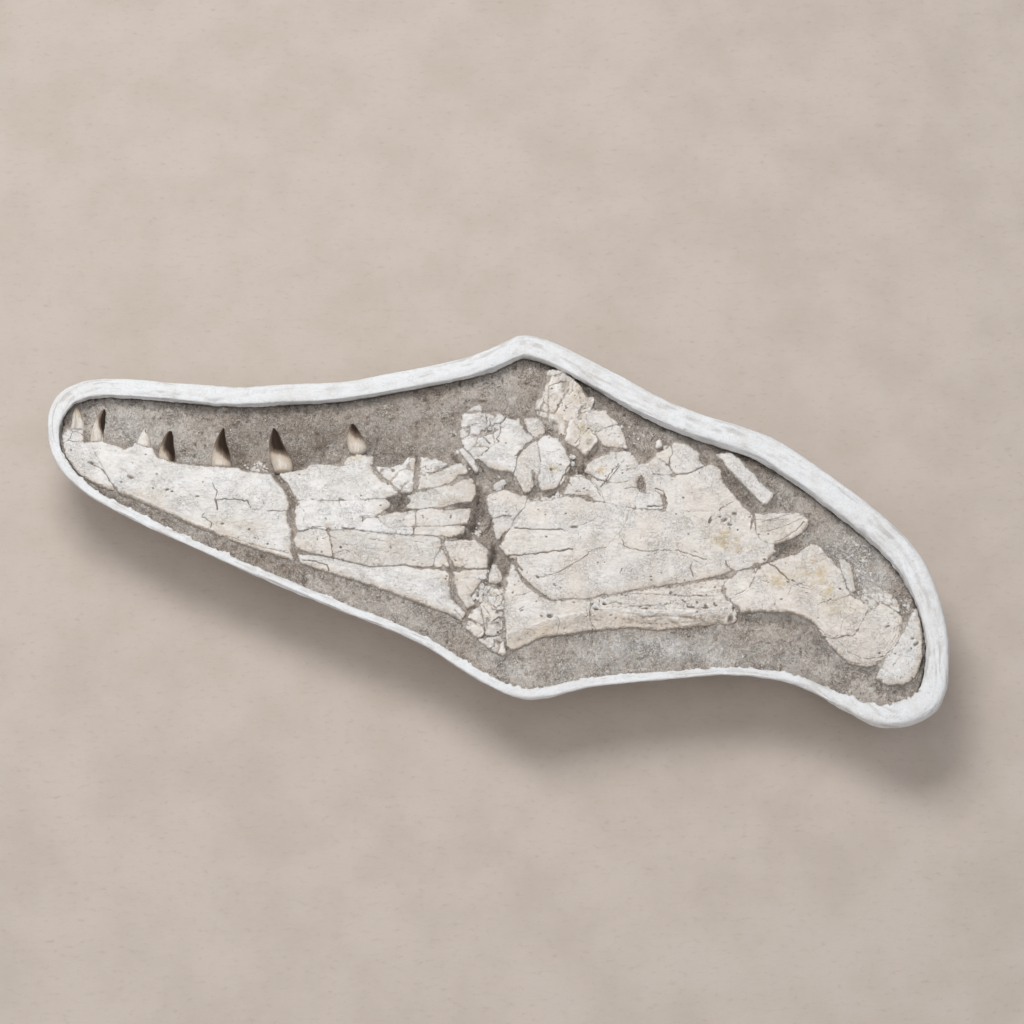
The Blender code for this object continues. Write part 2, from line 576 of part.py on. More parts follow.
def floor_loops(mesh, height):
    """The outline of each loose part of a shape where it meets a level, as x, y lists in mm."""
    bm = bmesh.new()
    bm.from_mesh(mesh)
    level = height * METRES_PER_MM
    near = LEVEL_TOLERANCE * METRES_PER_MM
    floor = [face for face in bm.faces
             if all(abs(vert.co.z - level) < near for vert in face.verts)]
    edge_use = {}
    for face in floor:
        for edge in face.edges:
            edge_use[edge] = edge_use.get(edge, 0) + 1
    border = {edge: None for edge in bm.edges if edge_use.get(edge) == 1}
    loops = []
    while border:
        edge = next(iter(border))
        del border[edge]
        start, current = edge.verts
        loop = [start, current]
        while current is not start:
            following = next((e for e in current.link_edges if e in border), None)
            if following is None:
                break
            del border[following]
            current = following.other_vert(current)
            loop.append(current)
        loops.append([(v.co.x / METRES_PER_MM, v.co.y / METRES_PER_MM) for v in loop[:-1]])
    bm.free()
    return loops


def area_of(loop):
    """The area inside an outline, in square millimetres."""
    points = np.array(loop)
    following = np.roll(points, -1, axis=0)
    return abs(np.sum(points[:, 0] * following[:, 1] - following[:, 0] * points[:, 1])) / 2


def holds(loop, x, y):
    """Whether an outline goes round a point."""
    inside = False
    for (x0, y0), (x1, y1) in zip(loop, loop[1:] + loop[:1]):
        if (y0 > y) != (y1 > y) and x < x0 + (y - y0) * (x1 - x0) / (y1 - y0):
            inside = not inside
    return inside


def tidy_loop(loop):
    """Leave out points that follow the one before them too closely."""
    kept = []
    for point in loop:
        if not kept or math.dist(point, kept[-1]) > SHORTEST_EDGE:
            kept.append(point)
    while math.dist(kept[0], kept[-1]) <= SHORTEST_EDGE:
        kept.pop()
    return kept


def broken_pieces(bone, cavity):
    """Part a bone's outline along its breaks and give each named piece its own outline."""
    blank = prism("blank", bone["outline"], BLANK_BOTTOM, BLANK_TOP)
    cutters = [prism("break", break_outline(route), CUTTER_BOTTOM, CUTTER_TOP)
               for route in bone["breaks"]]
    combine(blank, "INTERSECT", cavity)
    for cutter in cutters:
        combine(blank, "DIFFERENCE", cutter)
    mesh = combined_mesh(blank)
    loops = [loop for loop in floor_loops(mesh, BLANK_BOTTOM)
             if area_of(loop) > SMALLEST_CRUMB_AREA]
    for thing in [blank, *cutters]:
        bpy.data.objects.remove(thing, do_unlink=True)
    bpy.data.meshes.remove(mesh)
    pieces = {}
    for name, (x, y, _) in bone["pieces"].items():
        around = [loop for loop in loops if holds(loop, x, y)]
        pieces[name] = tidy_loop(min(around, key=area_of))
    return pieces


def crown_height(ridge, x, y):
    """How high a bone's crown stands at a point: a parabola across its ridge line."""
    x0, y0, x1, y1, half0, half1, height = ridge
    length = math.dist((x0, y0), (x1, y1))
    along = ((x - x0) * (x1 - x0) + (y - y0) * (y1 - y0)) / length ** 2
    along = min(max(along, 0.0), 1.0)
    half = half0 + (half1 - half0) * along
    away = math.dist((x, y), (x0 + (x1 - x0) * along, y0 + (y1 - y0) * along))
    return height * max(0.0, 1.0 - (away / half) ** 2)


def cut_along_ridge(bm, ridge):
    """Part a flat face along lines beside and across its ridge, so that it can bend there."""
    x0, y0, x1, y1, half0, half1, _ = ridge
    length = math.dist((x0, y0), (x1, y1))
    along = Vector(((x1 - x0) / length, (y1 - y0) / length, 0.0))
    across = Vector((-along.y, along.x, 0.0))
    start = Vector((x0, y0, 0.0))
    planes = [(start + across * share * (half0 + half1) / 2, across) for share in RIDGE_CUTS]
    steps = int(length // CROSS_CUT_SPACING)
    planes += [(start + along * CROSS_CUT_SPACING * (i + 0.5), along) for i in range(steps)]
    for point, normal in planes:
        bmesh.ops.bisect_plane(bm, geom=bm.verts[:] + bm.edges[:] + bm.faces[:],
                               dist=CUT_TOLERANCE * METRES_PER_MM,
                               plane_co=point * METRES_PER_MM, plane_no=normal)
    bmesh.ops.remove_doubles(bm, verts=bm.verts, dist=SHORTEST_EDGE * METRES_PER_MM)


def make_piece(name, loop, ridge, lift, material):
    """One piece of bone: its outline, raised to the crown of the bone it belongs to."""
    bm = bmesh.new()
    bm.faces.new([bm.verts.new(in_metres(x, y, BONE_SEAT)) for x, y in loop])
    if area_of(loop) > LARGE_PLATE_AREA:
        cut_along_ridge(bm, ridge)
    grown = bmesh.ops.extrude_face_region(bm, geom=bm.faces[:])
    for item in grown["geom"]:
        if isinstance(item, bmesh.types.BMVert):
            crown = crown_height(ridge, item.co.x / METRES_PER_MM, item.co.y / METRES_PER_MM)
            item.co.z += (PLATE_THICKNESS + lift + crown) * METRES_PER_MM
    bmesh.ops.triangulate(bm, faces=bm.faces, ngon_method="EAR_CLIP")
    piece = add_object(name, bm, material)
    smooth(piece.data)
    return piece


def make_tooth(base_x, base_y, tip_x, tip_y, radius, straight, bow):
    """A tooth lying on the rock: half a cone that bows sideways, flat underneath."""
    base = np.array((base_x, base_y), dtype=float)
    tip = np.array((tip_x, tip_y), dtype=float)
    axis = (tip - base) / np.linalg.norm(tip - base)
    side = np.array((axis[1], -axis[0]))
    rings = []
    for t in np.linspace(0.0, TOOTH_LAST_RING, TOOTH_RINGS):
        tapering = max(0.0, (t - straight) / (1.0 - straight)) ** TAPER_POWER
        width = radius * (1.0 - TOOTH_TAPER * tapering)
        centre = base + (tip - base) * t + side * bow * math.sin(math.pi * t)
        points = []
        for turn in np.linspace(0.0, math.pi, TOOTH_SIDES):
            x, y = centre + side * width * math.cos(turn)
            points.append((x, y, TOOTH_SEAT + width * TOOTH_FLATNESS * math.sin(turn)))
        rings.append(points)
    return loft("tooth", rings, None)


def join_tooth(piece, tooth):
    """Grow a tooth from its bone, as one closed solid."""
    combine(piece, "UNION", tooth)
    mesh = combined_mesh(piece)
    piece.modifiers.clear()
    piece.data = mesh
    smooth(mesh)
    bpy.data.objects.remove(tooth, do_unlink=True)


def main():
    """Build the jacket, the rock and every piece of the jaw."""
    clear_scene()
    materials = {name: make_material(name) for name in FINISHES}
    make_jacket(materials["plaster"])
    make_rock(materials["rock_matrix"])
    _, inner, _ = rim_loops()
    cavity = prism("cavity", inner - outward(inner) * BONE_TO_WALL, CUTTER_BOTTOM, CUTTER_TOP)
    toothed = {tooth[0] for tooth in TEETH}
    built = {}
    for bone in BONES.values():
        for name, loop in broken_pieces(bone, cavity).items():
            finish = "toothed_bone" if name in toothed else "fossil_bone"
            lift = bone["pieces"][name][2]
            built[name] = make_piece(name, loop, bone["ridge"], lift, materials[finish])
    bpy.data.objects.remove(cavity, do_unlink=True)
    for owner, *sizes in TEETH:
        join_tooth(built[owner], make_tooth(*sizes))


main()
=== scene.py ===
"""Looks of a fossil mosasaur jaw lying in rock matrix in its white plaster field jacket.

Lengths are millimetres in the row frame until a mesh is filled, which happens in metres. The jaw
lies along X with its tip at the left, its teeth point along Y, and Z is up.
"""
import logging
import math
from dataclasses import dataclass, field
from enum import Enum
from itertools import product

import bpy
import numpy as np
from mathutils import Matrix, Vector
from mathutils.bvhtree import BVHTree


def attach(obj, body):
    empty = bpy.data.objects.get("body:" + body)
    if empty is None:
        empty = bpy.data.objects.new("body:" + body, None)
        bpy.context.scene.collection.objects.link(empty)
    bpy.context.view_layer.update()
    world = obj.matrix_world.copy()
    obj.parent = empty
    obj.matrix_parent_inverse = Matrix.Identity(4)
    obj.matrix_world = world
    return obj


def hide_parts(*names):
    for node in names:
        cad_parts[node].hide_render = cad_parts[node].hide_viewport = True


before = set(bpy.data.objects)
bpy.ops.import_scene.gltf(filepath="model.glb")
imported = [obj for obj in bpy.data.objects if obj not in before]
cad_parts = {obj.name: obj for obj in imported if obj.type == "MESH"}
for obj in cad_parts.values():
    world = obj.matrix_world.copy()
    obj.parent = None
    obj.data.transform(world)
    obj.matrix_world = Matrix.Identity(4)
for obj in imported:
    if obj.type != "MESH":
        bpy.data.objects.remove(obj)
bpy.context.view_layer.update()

LOG = logging.getLogger("fossil_jaw")
MM = 0.001
ROOT = "root"
ROCK_LEVEL = 100.0
BONE_SEAT = 100.3
GIRTH_LEVEL = 106.0
HULL_LEVELS = (0.0, 12.72, 38.16, 72.08)
LEVEL_SLACK = 0.06
FAR_AWAY = -1e9
RAY_START = 300.0
BONE_STEP = 0.8
ROCK_STEP = 1.7
CROWN_STEP = 4.0

HULL_MAP = "surface"

Array = np.ndarray
Colour = tuple[float, float, float, float]
Socket = bpy.types.NodeSocket


def smoothstep(low: float, high: float, value: Array) -> Array:
    """A soft step from 0 at low to 1 at high.

    Args:
        low: where the step starts.
        high: where it ends; below low, the step falls instead of rising.
        value: the numbers that are stepped.

    Returns:
        t times t times (3 - 2 t), where t is how far value is from low to high, kept in 0 to 1.
    """
    t = np.clip((value - low) / (high - low), 0.0, 1.0)
    return t * t * (3.0 - 2.0 * t)


def bump(turn: Array, start: float, full: float, still: float, end: float) -> Array:
    """A swell from 0 to 1 and back over a range of turns.

    Args:
        turn: the turns, in radians.
        start: the half turn from which it rises.
        full: where it has risen.
        still: where it starts to fall.
        end: where it has fallen.

    Returns:
        The product of a rising and a falling soft step.
    """
    return (smoothstep(math.pi * start, math.pi * full, turn)
            * smoothstep(math.pi * end, math.pi * still, turn))


def mixed_number(corner: Array, seed: int) -> Array:
    """A number from -1 to 1 for each row of whole coordinates, the same each time for one seed.

    Args:
        corner: rows of whole coordinates.
        seed: picks the numbers.

    Returns:
        One number for each row.
    """
    mixed = np.full(len(corner), seed * 974634777 + 1013904223, dtype=np.int64)
    for axis, prime in zip(range(corner.shape[1]), (374761393, 668265263, 1440662683)):
        mixed += corner[:, axis] * prime
    mixed = (mixed ^ (mixed >> 13)) * 1274126177
    mixed = (mixed ^ (mixed >> 16)) & 0xFFFFFF
    return mixed / float(0xFFFFFF) * 2.0 - 1.0


def lattice_noise(places: Array, cell: float | tuple[float, ...], seed: int) -> Array:
    """A smooth random value from -1 to 1 at each place.

    Each corner of a lattice of cells has a number mixed from its whole coordinates and the seed;
    a place takes the numbers at its cell's corners, weighted with a fifth-power step.

    Args:
        places: rows of two or three coordinates.
        cell: the cell's size, one for all axes or one for each.
        seed: which of the many lattices is read.

    Returns:
        One value for each row.
    """
    scaled = places / np.asarray(cell, dtype=float)
    corner = np.floor(scaled)
    inside = scaled - corner
    inside = inside ** 3 * (inside * (inside * 6.0 - 15.0) + 10.0)
    corner = corner.astype(np.int64)
    total = np.zeros(len(places))
    for offset in product((0, 1), repeat=places.shape[1]):
        weight = np.ones(len(places))
        for axis, step in enumerate(offset):
            weight *= inside[:, axis] if step else 1.0 - inside[:, axis]
        total += weight * mixed_number(corner + np.array(offset), seed)
    return total


def cloud(places: Array, cell: float, seed: int, octaves: int = 3, gain: float = 0.5) -> Array:
    """Layers of lattice noise, each half the size of the last and weaker by the gain.

    Args:
        places: rows of coordinates.
        cell: the size of the widest layer's cells.
        seed: the first layer's seed.
        octaves: how many layers.
        gain: how strong a layer is beside the one before it.

    Returns:
        The sum, scaled back to about -1 to 1.
    """
    total = np.zeros(len(places))
    strength, whole = 1.0, 0.0
    for layer in range(octaves):
        total += strength * lattice_noise(places, cell / 2 ** layer, seed + 31 * layer)
        whole += strength
        strength *= gain
    return total / whole


def streaks(places: Array, turn: float, length: float, width: float, seed: int) -> Array:
    """Noise drawn out along one direction.

    Args:
        places: rows of x and y.
        turn: the direction in degrees from X.
        length: the cell's size along the direction.
        width: its size across.
        seed: the lattice.

    Returns:
        One value from -1 to 1 for each row: noise read at the place turned into the direction's
        own two axes.
    """
    c, s = math.cos(math.radians(turn)), math.sin(math.radians(turn))
    turned = np.column_stack([places[:, 0] * c + places[:, 1] * s,
                              places[:, 1] * c - places[:, 0] * s])
    return lattice_noise(turned, (length, width), seed)


def shards(places: Array, cell: float, turn: float, seed: int) -> tuple[Array, Array]:
    """Broken plates of bone: one scattered point per cell, each with a tilt and a height.

    Args:
        places: rows of x and y.
        cell: how wide a plate is; it is half as long again.
        turn: the plates' long direction in degrees from X.
        seed: the scatter.

    Returns:
        The height of the plate of the nearest point at each place, as a share of the cell, and
        how much nearer that point is than the next one, in millimetres.
    """
    c, s = math.cos(math.radians(turn)), math.sin(math.radians(turn))
    turned = np.column_stack([(places[:, 0] * c + places[:, 1] * s) / 1.5,
                              places[:, 1] * c - places[:, 0] * s]) / cell
    corner = np.floor(turned).astype(np.int64)
    first = np.full(len(places), np.inf)
    second = first.copy()
    height = np.zeros(len(places))
    for offset in product((-1, 0, 1), repeat=2):
        at = corner + np.array(offset)
        away = turned - at - 0.5 - 0.4 * np.column_stack([mixed_number(at, seed), mixed_number(at, seed + 1)])
        reach = np.linalg.norm(away, axis=1)
        plate = 0.5 * mixed_number(at, seed + 2) + away[:, 0] * mixed_number(at, seed + 3)
        plate += away[:, 1] * mixed_number(at, seed + 4)
        nearest = reach < first
        second = np.where(nearest, first, np.minimum(second, reach))
        height = np.where(nearest, plate, height)
        first = np.where(nearest, reach, first)
    return height, (second - first) * cell


def warp(places: Array, reach: float, cell: float, seed: int) -> Array:
    """The places, each moved up to the reach by noise of that cell, so straight lines wander."""
    shift = np.column_stack([lattice_noise(places, cell, seed), lattice_noise(places, cell, seed + 7)])
    return places + reach * shift


def blurred(values: Array, sigma: float) -> Array:
    """A field smoothed with a bell curve.

    Args:
        values: a two-way table.
        sigma: the bell's width in cells.

    Returns:
        The table with each row and then each column averaged with bell weights; its border
        values go on outside it.
    """
    reach = max(1, int(3 * sigma))
    taps = np.exp(-0.5 * (np.arange(-reach, reach + 1) / sigma) ** 2)
    taps /= taps.sum()
    for axis in (0, 1):
        padded = np.pad(values, [(reach, reach) if k == axis else (0, 0) for k in (0, 1)], mode="edge")
        count = values.shape[axis]
        total = np.zeros_like(values)
        for shift, tap in enumerate(taps):
            total += tap * np.take(padded, range(shift, shift + count), axis=axis)
        values = total
    return values


def filled_in(values: Array, known: Array, sigma: float) -> Array:
    """A field known at some places only, smoothed and carried on into the rest of the table.

    Args:
        values: the table.
        known: which of its nodes count.
        sigma: how far they are smoothed, in nodes.

    Returns:
        The whole table.
    """
    share = blurred(known.astype(float), sigma)
    mean = values[known].mean()
    return mean + blurred(np.where(known, values - mean, 0.0), sigma) / np.maximum(share, 1e-4)


def even_walk(loop: Array, spacing: float, closed: bool = True) -> Array:
    """A path resampled in even steps.

    Args:
        loop: rows of x, y.
        spacing: about how long a step is.
        closed: whether the last point joins the first.

    Returns:
        Points at equal lengths along the straight pieces of the path.
    """
    path = np.vstack([loop, loop[:1]]) if closed else loop
    along = np.concatenate([[0.0], np.cumsum(np.linalg.norm(np.diff(path, axis=0), axis=1))])
    count = max(3, int(round(along[-1] / spacing)))
    stations = np.linspace(0.0, along[-1], count + (not closed), endpoint=not closed)
    return np.column_stack([np.interp(stations, along, path[:, k]) for k in (0, 1)])


def softened(loop: Array, rounds: int) -> Array:
    """A closed loop with its corners rounded: each point moves to the mean of its neighbours.

    Args:
        loop: rows of x, y.
        rounds: how often this is done.

    Returns:
        The rounded loop.
    """
    for _ in range(rounds):
        loop = 0.5 * loop + 0.25 * (np.roll(loop, 1, axis=0) + np.roll(loop, -1, axis=0))
    return loop


def loop_area(loop: Array) -> float:
    """The area inside a loop, positive where it runs anticlockwise."""
    after = np.roll(loop, -1, axis=0)
    return float(np.sum(loop[:, 0] * after[:, 1] - after[:, 0] * loop[:, 1]) / 2.0)


def loop_normals(loop: Array) -> Array:
    """For an anticlockwise loop, the unit vector away from its inside at each point.

    Args:
        loop: rows of x, y.

    Returns:
        One vector for each point.
    """
    tangent = np.roll(loop, -1, axis=0) - np.roll(loop, 1, axis=0)
    normal = np.column_stack([tangent[:, 1], -tangent[:, 0]])
    return normal / np.maximum(np.linalg.norm(normal, axis=1, keepdims=True), 1e-9)


def grid_normals(points: Array) -> Array:
    """Unit normals of a surface given as a table of points that is closed along its first axis.

    Args:
        points: the table of points.

    Returns:
        One vector for each point.
    """
    along = np.roll(points, -1, axis=0) - np.roll(points, 1, axis=0)
    across = np.gradient(points, axis=1)
    normal = np.cross(along, across)
    return normal / np.maximum(np.linalg.norm(normal, axis=2, keepdims=True), 1e-9)


def ring_faces(rings: int, sides: int) -> tuple[Array, list[tuple[int, int, int]]]:
    """Faces of closed rings of points that follow one another, with a pole at either end.

    The first pole is numbered straight after the rings and the last pole after it.

    Args:
        rings: how many rings there are.
        sides: how many points each has.

    Returns:
        The quads between the rings and the triangles round the two poles.
    """
    start = np.arange(rings - 1)[:, None] * sides
    side = np.arange(sides)[None, :]
    after = (side + 1) % sides
    quads = np.stack([start + side, start + sides + side, start + sides + after, start + after], axis=-1)
    last, pole = (rings - 1) * sides, rings * sides
    ends = [(k, (k + 1) % sides, pole) for k in range(sides)]
    ends += [(last + (k + 1) % sides, last + k, pole + 1) for k in range(sides)]
    return quads.reshape(-1, 4), ends


def fine_part(table: Array, mode: str) -> Array:
    """What is left of a table when its broad shape is taken away, with its border carried on."""
    padded = np.pad(table, 8, mode=mode)
    return table - blurred(padded, 4.0)[8:-8, 8:-8]


@dataclass
class Solid:
    """A solid of the frame, read as merged points and triangles in millimetres."""

    name: str
    points: Array = field(init=False)
    triangles: Array = field(init=False)

    def __post_init__(self) -> None:
        """Read the node's mesh and merge the points that its loose triangles share."""
        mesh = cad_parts[self.name].data
        raw = np.empty(len(mesh.vertices) * 3, dtype=np.float32)
        mesh.vertices.foreach_get("co", raw)
        corners = np.empty(len(mesh.loops), dtype=np.int32)
        mesh.loops.foreach_get("vertex_index", corners)
        keys = np.round(raw.reshape(-1, 3).astype(float) / MM, 2)
        self.points, index = np.unique(keys, axis=0, return_inverse=True)
        self.triangles = index.reshape(-1)[corners].reshape(-1, 3)

    def loops_at(self, level: float) -> list[Array]:
        """The closed lines of edges that lie at a level, but not inside a flat face there.

        Args:
            level: the height in millimetres.

        Returns:
            Each line as rows of x, y, anticlockwise, the largest first.
        """
        flat = np.abs(self.points[:, 2] - level) < LEVEL_SLACK
        triangles = self.triangles
        sides = np.vstack([triangles[:, [0, 1]], triangles[:, [1, 2]], triangles[:, [2, 0]]])
        in_face = np.tile(flat[triangles].all(axis=1), 3)
        at_level = flat[sides].all(axis=1)
        pairs, first = np.unique(np.sort(sides[at_level], axis=1), axis=0, return_inverse=True)
        faces = np.bincount(first.reshape(-1), weights=in_face[at_level], minlength=len(pairs))
        pairs = pairs[faces < 2]
        beside: dict[int, list[int]] = {}
        for a, b in pairs.tolist():
            beside.setdefault(a, []).append(b)
            beside.setdefault(b, []).append(a)
        loops = []
        while beside:
            start = next(iter(beside))
            chain = [start]
            while True:
                following = [k for k in beside[chain[-1]] if len(chain) < 2 or k != chain[-2]]
                if not following or following[0] == start or len(chain) > len(pairs):
                    break
                chain.append(following[0])
            for k in chain:
                beside.pop(k, None)
            loop = self.points[chain][:, :2]
            loops.append(loop if loop_area(loop) > 0 else loop[::-1])
        return sorted(loops, key=lambda loop: -abs(loop_area(loop)))

    def tree(self) -> BVHTree:
        """A search tree of the solid's faces, in millimetres."""
        return BVHTree.FromPolygons(self.points.tolist(), self.triangles.tolist())


@dataclass
class Field:
    """A level grid of square cells over a stretch of the ground."""

    x0: float
    y0: float
    x1: float
    y1: float
    step: float
    columns: int = field(init=False)
    rows: int = field(init=False)

    def __post_init__(self) -> None:
        """Count the grid's nodes each way."""
        self.columns = int(math.ceil((self.x1 - self.x0) / self.step)) + 1
        self.rows = int(math.ceil((self.y1 - self.y0) / self.step)) + 1

    @classmethod
    def around(cls, loop: Array, margin: float, step: float) -> "Field":
        """A grid that covers a loop with a margin."""
        low, high = loop.min(axis=0) - margin, loop.max(axis=0) + margin
        return cls(low[0], low[1], high[0], high[1], step)

    @property
    def shape(self) -> tuple[int, int]:
        """Rows and columns."""
        return self.rows, self.columns

    def places(self) -> Array:
        """The x and y of every node, row by row.

        Returns:
            Rows of x, y.
        """
        x = self.x0 + self.step * np.arange(self.columns)
        y = self.y0 + self.step * np.arange(self.rows)
        gx, gy = np.meshgrid(x, y)
        return np.column_stack([gx.ravel(), gy.ravel()])

    def inside(self, loop: Array) -> Array:
        """Which nodes lie inside a loop.

        Args:
            loop: rows of x, y.

        Returns:
            A table of truths: along each row of nodes, the loop's crossings of that row are
            found, and a node is inside if an odd number of them lies beyond it.
        """
        y = (self.y0 + self.step * np.arange(self.rows) + 1e-7)[:, None]
        after = np.roll(loop, -1, axis=0)
        crossing = (loop[:, 1] > y) != (after[:, 1] > y)
        rise = np.where(after[:, 1] == loop[:, 1], 1.0, after[:, 1] - loop[:, 1])
        at = loop[:, 0] + (y - loop[:, 1]) * (after[:, 0] - loop[:, 0]) / rise
        at = -np.sort(-np.where(crossing, at, FAR_AWAY), axis=1)
        most = max(1, int(crossing.sum(axis=1).max()))
        x = self.x0 + self.step * np.arange(self.columns)
        beyond = (at[:, None, :most] > x[None, :, None]).sum(axis=2)
        return beyond % 2 == 1

    def stamp(self, samples: Array, reach: float) -> tuple[Array, Array]:
        """How far each node is from a dense row of samples.

        Args:
            samples: rows of x, y.
            reach: the furthest distance that matters.

        Returns:
            The distance table, which stays at the reach where no sample is near, and the table
            of each node's nearest sample, -1 where none is near. Every sample is laid on the
            square of nodes round it, the near ones last, so they stay on top.
        """
        window = int(math.ceil(reach / self.step))
        offset = np.arange(-window, window + 1)
        column = np.rint((samples[:, 0] - self.x0) / self.step).astype(int)[:, None, None]
        row = np.rint((samples[:, 1] - self.y0) / self.step).astype(int)[:, None, None]
        columns = np.broadcast_to(column + offset[None, None, :], (len(samples), len(offset), len(offset)))
        rows = np.broadcast_to(row + offset[None, :, None], columns.shape)
        dx = self.x0 + self.step * columns - samples[:, 0, None, None]
        dy = self.y0 + self.step * rows - samples[:, 1, None, None]
        away = np.hypot(dx, dy)
        fits = ((columns >= 0) & (columns < self.columns) & (rows >= 0) & (rows < self.rows)
                & (away < reach))
        order = np.argsort(-away[fits], kind="stable")
        node = (rows[fits] * self.columns + columns[fits])[order]
        number = np.broadcast_to(np.arange(len(samples))[:, None, None], columns.shape)[fits][order]
        distance = np.full(self.rows * self.columns, float(reach))
        nearest = np.full(self.rows * self.columns, -1)
        distance[node] = away[fits][order]
        nearest[node] = number
        return distance.reshape(self.shape), nearest.reshape(self.shape)

    def read(self, values: Array, places: Array) -> Array:
        """A table's values at any places, blended between the four nodes round each.

        Args:
            values: the table.
            places: rows of x, y.

        Returns:
            One value for each place.
        """
        column = np.clip((places[:, 0] - self.x0) / self.step, 0, self.columns - 1.001)
        row = np.clip((places[:, 1] - self.y0) / self.step, 0, self.rows - 1.001)
        i, j = column.astype(int), row.astype(int)
        u, v = column - i, row - j
        return ((1 - u) * (1 - v) * values[j, i] + u * (1 - v) * values[j, i + 1]
                + (1 - u) * v * values[j + 1, i] + u * v * values[j + 1, i + 1])


class Mark(str, Enum):
    """The named numbers that a mesh carries for its finish."""

    # crack carries dark fillings; on the rock it also carries painted shade along the wall and round the
    # bones
    CRACK = "crack"
    # relief is height over the local mean: the finishes paint highlights on its highs and shade in its lows
    RELIEF = "relief"
    OCHRE = "ochre"
    EDGE = "edge"
    # painted shade: darker on bone flanks turned away from the light, on bone walls and in the rock's shaded
    # patches
    FLANK = "flank"
    ENAMEL = "enamel"
    # white carries the rock's chalky patches and a painted highlight at a tooth's tip
    WHITE = "white"


def fill_mesh(name: str, points: Array, quads: Array, caps: list[Array], marks: dict[Mark, Array],
              uv: Array | None = None) -> bpy.types.Object:
    """Put a worked-out surface into a mesh object at the origin.

    Args:
        name: the object's name.
        points: rows of x, y, z in millimetres.
        quads: rows of four point numbers.
        caps: further faces, each a row of any number of point numbers.
        marks: the numbers at the points, for the finish.
        uv: the place of each corner of each quad on the surface's own map, if it has one.

    Returns:
        The object, shaded smooth, riding on the root.
    """
    mesh = bpy.data.meshes.new(name)
    corners = np.concatenate([quads.ravel(), *caps]).astype(np.int32)
    counts = np.concatenate([np.full(len(quads), 4), [len(cap) for cap in caps]]).astype(np.int32)
    starts = np.concatenate([[0], np.cumsum(counts)[:-1]]).astype(np.int32)
    mesh.vertices.add(len(points))
    mesh.loops.add(len(corners))
    mesh.polygons.add(len(counts))
    mesh.vertices.foreach_set("co", (points * MM).astype(np.float32).ravel())
    mesh.loops.foreach_set("vertex_index", corners)
    mesh.polygons.foreach_set("loop_start", starts)
    mesh.update(calc_edges=True)
    mesh.polygons.foreach_set("use_smooth", np.ones(len(counts), dtype=bool))
    for mark, values in marks.items():
        layer = mesh.attributes.new(mark.value, "FLOAT", "POINT")
        layer.data.foreach_set("value", np.asarray(values, dtype=np.float32))
    if uv is not None:
        layer = mesh.uv_layers.new(name=HULL_MAP)
        flat = np.zeros((len(corners), 2), dtype=np.float32)
        flat[:len(uv)] = uv
        layer.data.foreach_set("uv", flat.ravel())
    mesh.validate()
    thing = bpy.data.objects.new(name, mesh)
    bpy.context.scene.collection.objects.link(thing)
    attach(thing, ROOT)
    return thing


@dataclass
class ClippedGrid:
    """A grid of cells cut to an outline, with its border drawn onto the outline.

    The kept cells make the top. Walls of several rings go down from its border, and one flat
    face under each closed line of the lowest ring shuts the body.
    """

    ground: Field
    outline: Array
    near: Array
    nearest: Array
    inside: Array

    def __post_init__(self) -> None:
        """Choose the cells, number their nodes and find the border's directed edges."""
        keep = self.inside & ((self.near > 0.45 * self.ground.step) | (self.nearest < 0))
        cell = keep[:-1, :-1] & keep[:-1, 1:] & keep[1:, 1:] & keep[1:, :-1]
        for _ in range(6):
            around = np.pad(cell, 1)
            a, b, c, d = around[:-1, :-1], around[:-1, 1:], around[1:, :-1], around[1:, 1:]
            pinch = (a & d & ~b & ~c) | (b & c & ~a & ~d)
            if not pinch.any():
                break
            cell &= ~(pinch[:-1, :-1] | pinch[:-1, 1:] | pinch[1:, :-1] | pinch[1:, 1:])
        around = np.pad(cell, 1)
        corners = [around[:-1, :-1], around[:-1, 1:], around[1:, :-1], around[1:, 1:]]
        touched = corners[0] | corners[1] | corners[2] | corners[3]
        number = np.full(self.ground.shape, -1)
        number[touched] = np.arange(touched.sum())
        self.used = touched
        rows, columns = np.nonzero(cell)
        self.quads = np.column_stack([number[rows, columns], number[rows, columns + 1],
                                      number[rows + 1, columns + 1], number[rows + 1, columns]])
        below, above = ~around[:-2, 1:-1][rows, columns], ~around[2:, 1:-1][rows, columns]
        left, right = ~around[1:-1, :-2][rows, columns], ~around[1:-1, 2:][rows, columns]
        q = self.quads
        self.border = np.vstack([q[below][:, [0, 1]], q[right][:, [1, 2]],
                                 q[above][:, [2, 3]], q[left][:, [3, 0]]])
        self.rim = np.unique(self.border)
        places = self.ground.places().reshape(*self.ground.shape, 2)[touched]
        target = self.nearest[touched][self.rim]
        distance = self.near[touched][self.rim]
        snap = (target >= 0) & (distance < 2.6 * self.ground.step)
        places[self.rim[snap]] = self.outline[target[snap]]
        self.places = places

    def pick(self, table: Array) -> Array:
        """A table's values at the kept nodes."""
        return table[self.used]

    def faces(self, depths: int) -> tuple[Array, list[Array]]:
        """Faces of the top, the walls and the underside.

        Args:
            depths: how many rings the walls have below the border. Their points follow the
                top's, ring by ring, each with a point for every border node.

        Returns:
            The quads, and the closed lines of the lowest ring, turned to face down.
        """
        count = len(self.rim)
        rings = [len(self.places) + k * count + np.arange(count) for k in range(depths)]
        slot = np.full(len(self.places), -1)
        slot[self.rim] = np.arange(len(self.rim))
        start, end = slot[self.border[:, 0]], slot[self.border[:, 1]]
        levels = [self.rim, *rings]
        quads = [np.column_stack([upper[end], upper[start], lower[start], lower[end]])
                 for upper, lower in zip(levels, levels[1:])]
        following = np.full(len(self.rim), -1)
        following[start] = end
        left = set(start.tolist())
        caps = []
        while left:
            first = left.pop()
            chain = [first]
            step = int(following[first])
            while step != first and step in left:
                left.discard(step)
                chain.append(step)
                step = int(following[step])
            caps.append(rings[-1][np.array(chain[::-1])])
        return np.vstack([self.quads, *quads]), [cap for cap in caps if len(cap) > 2]


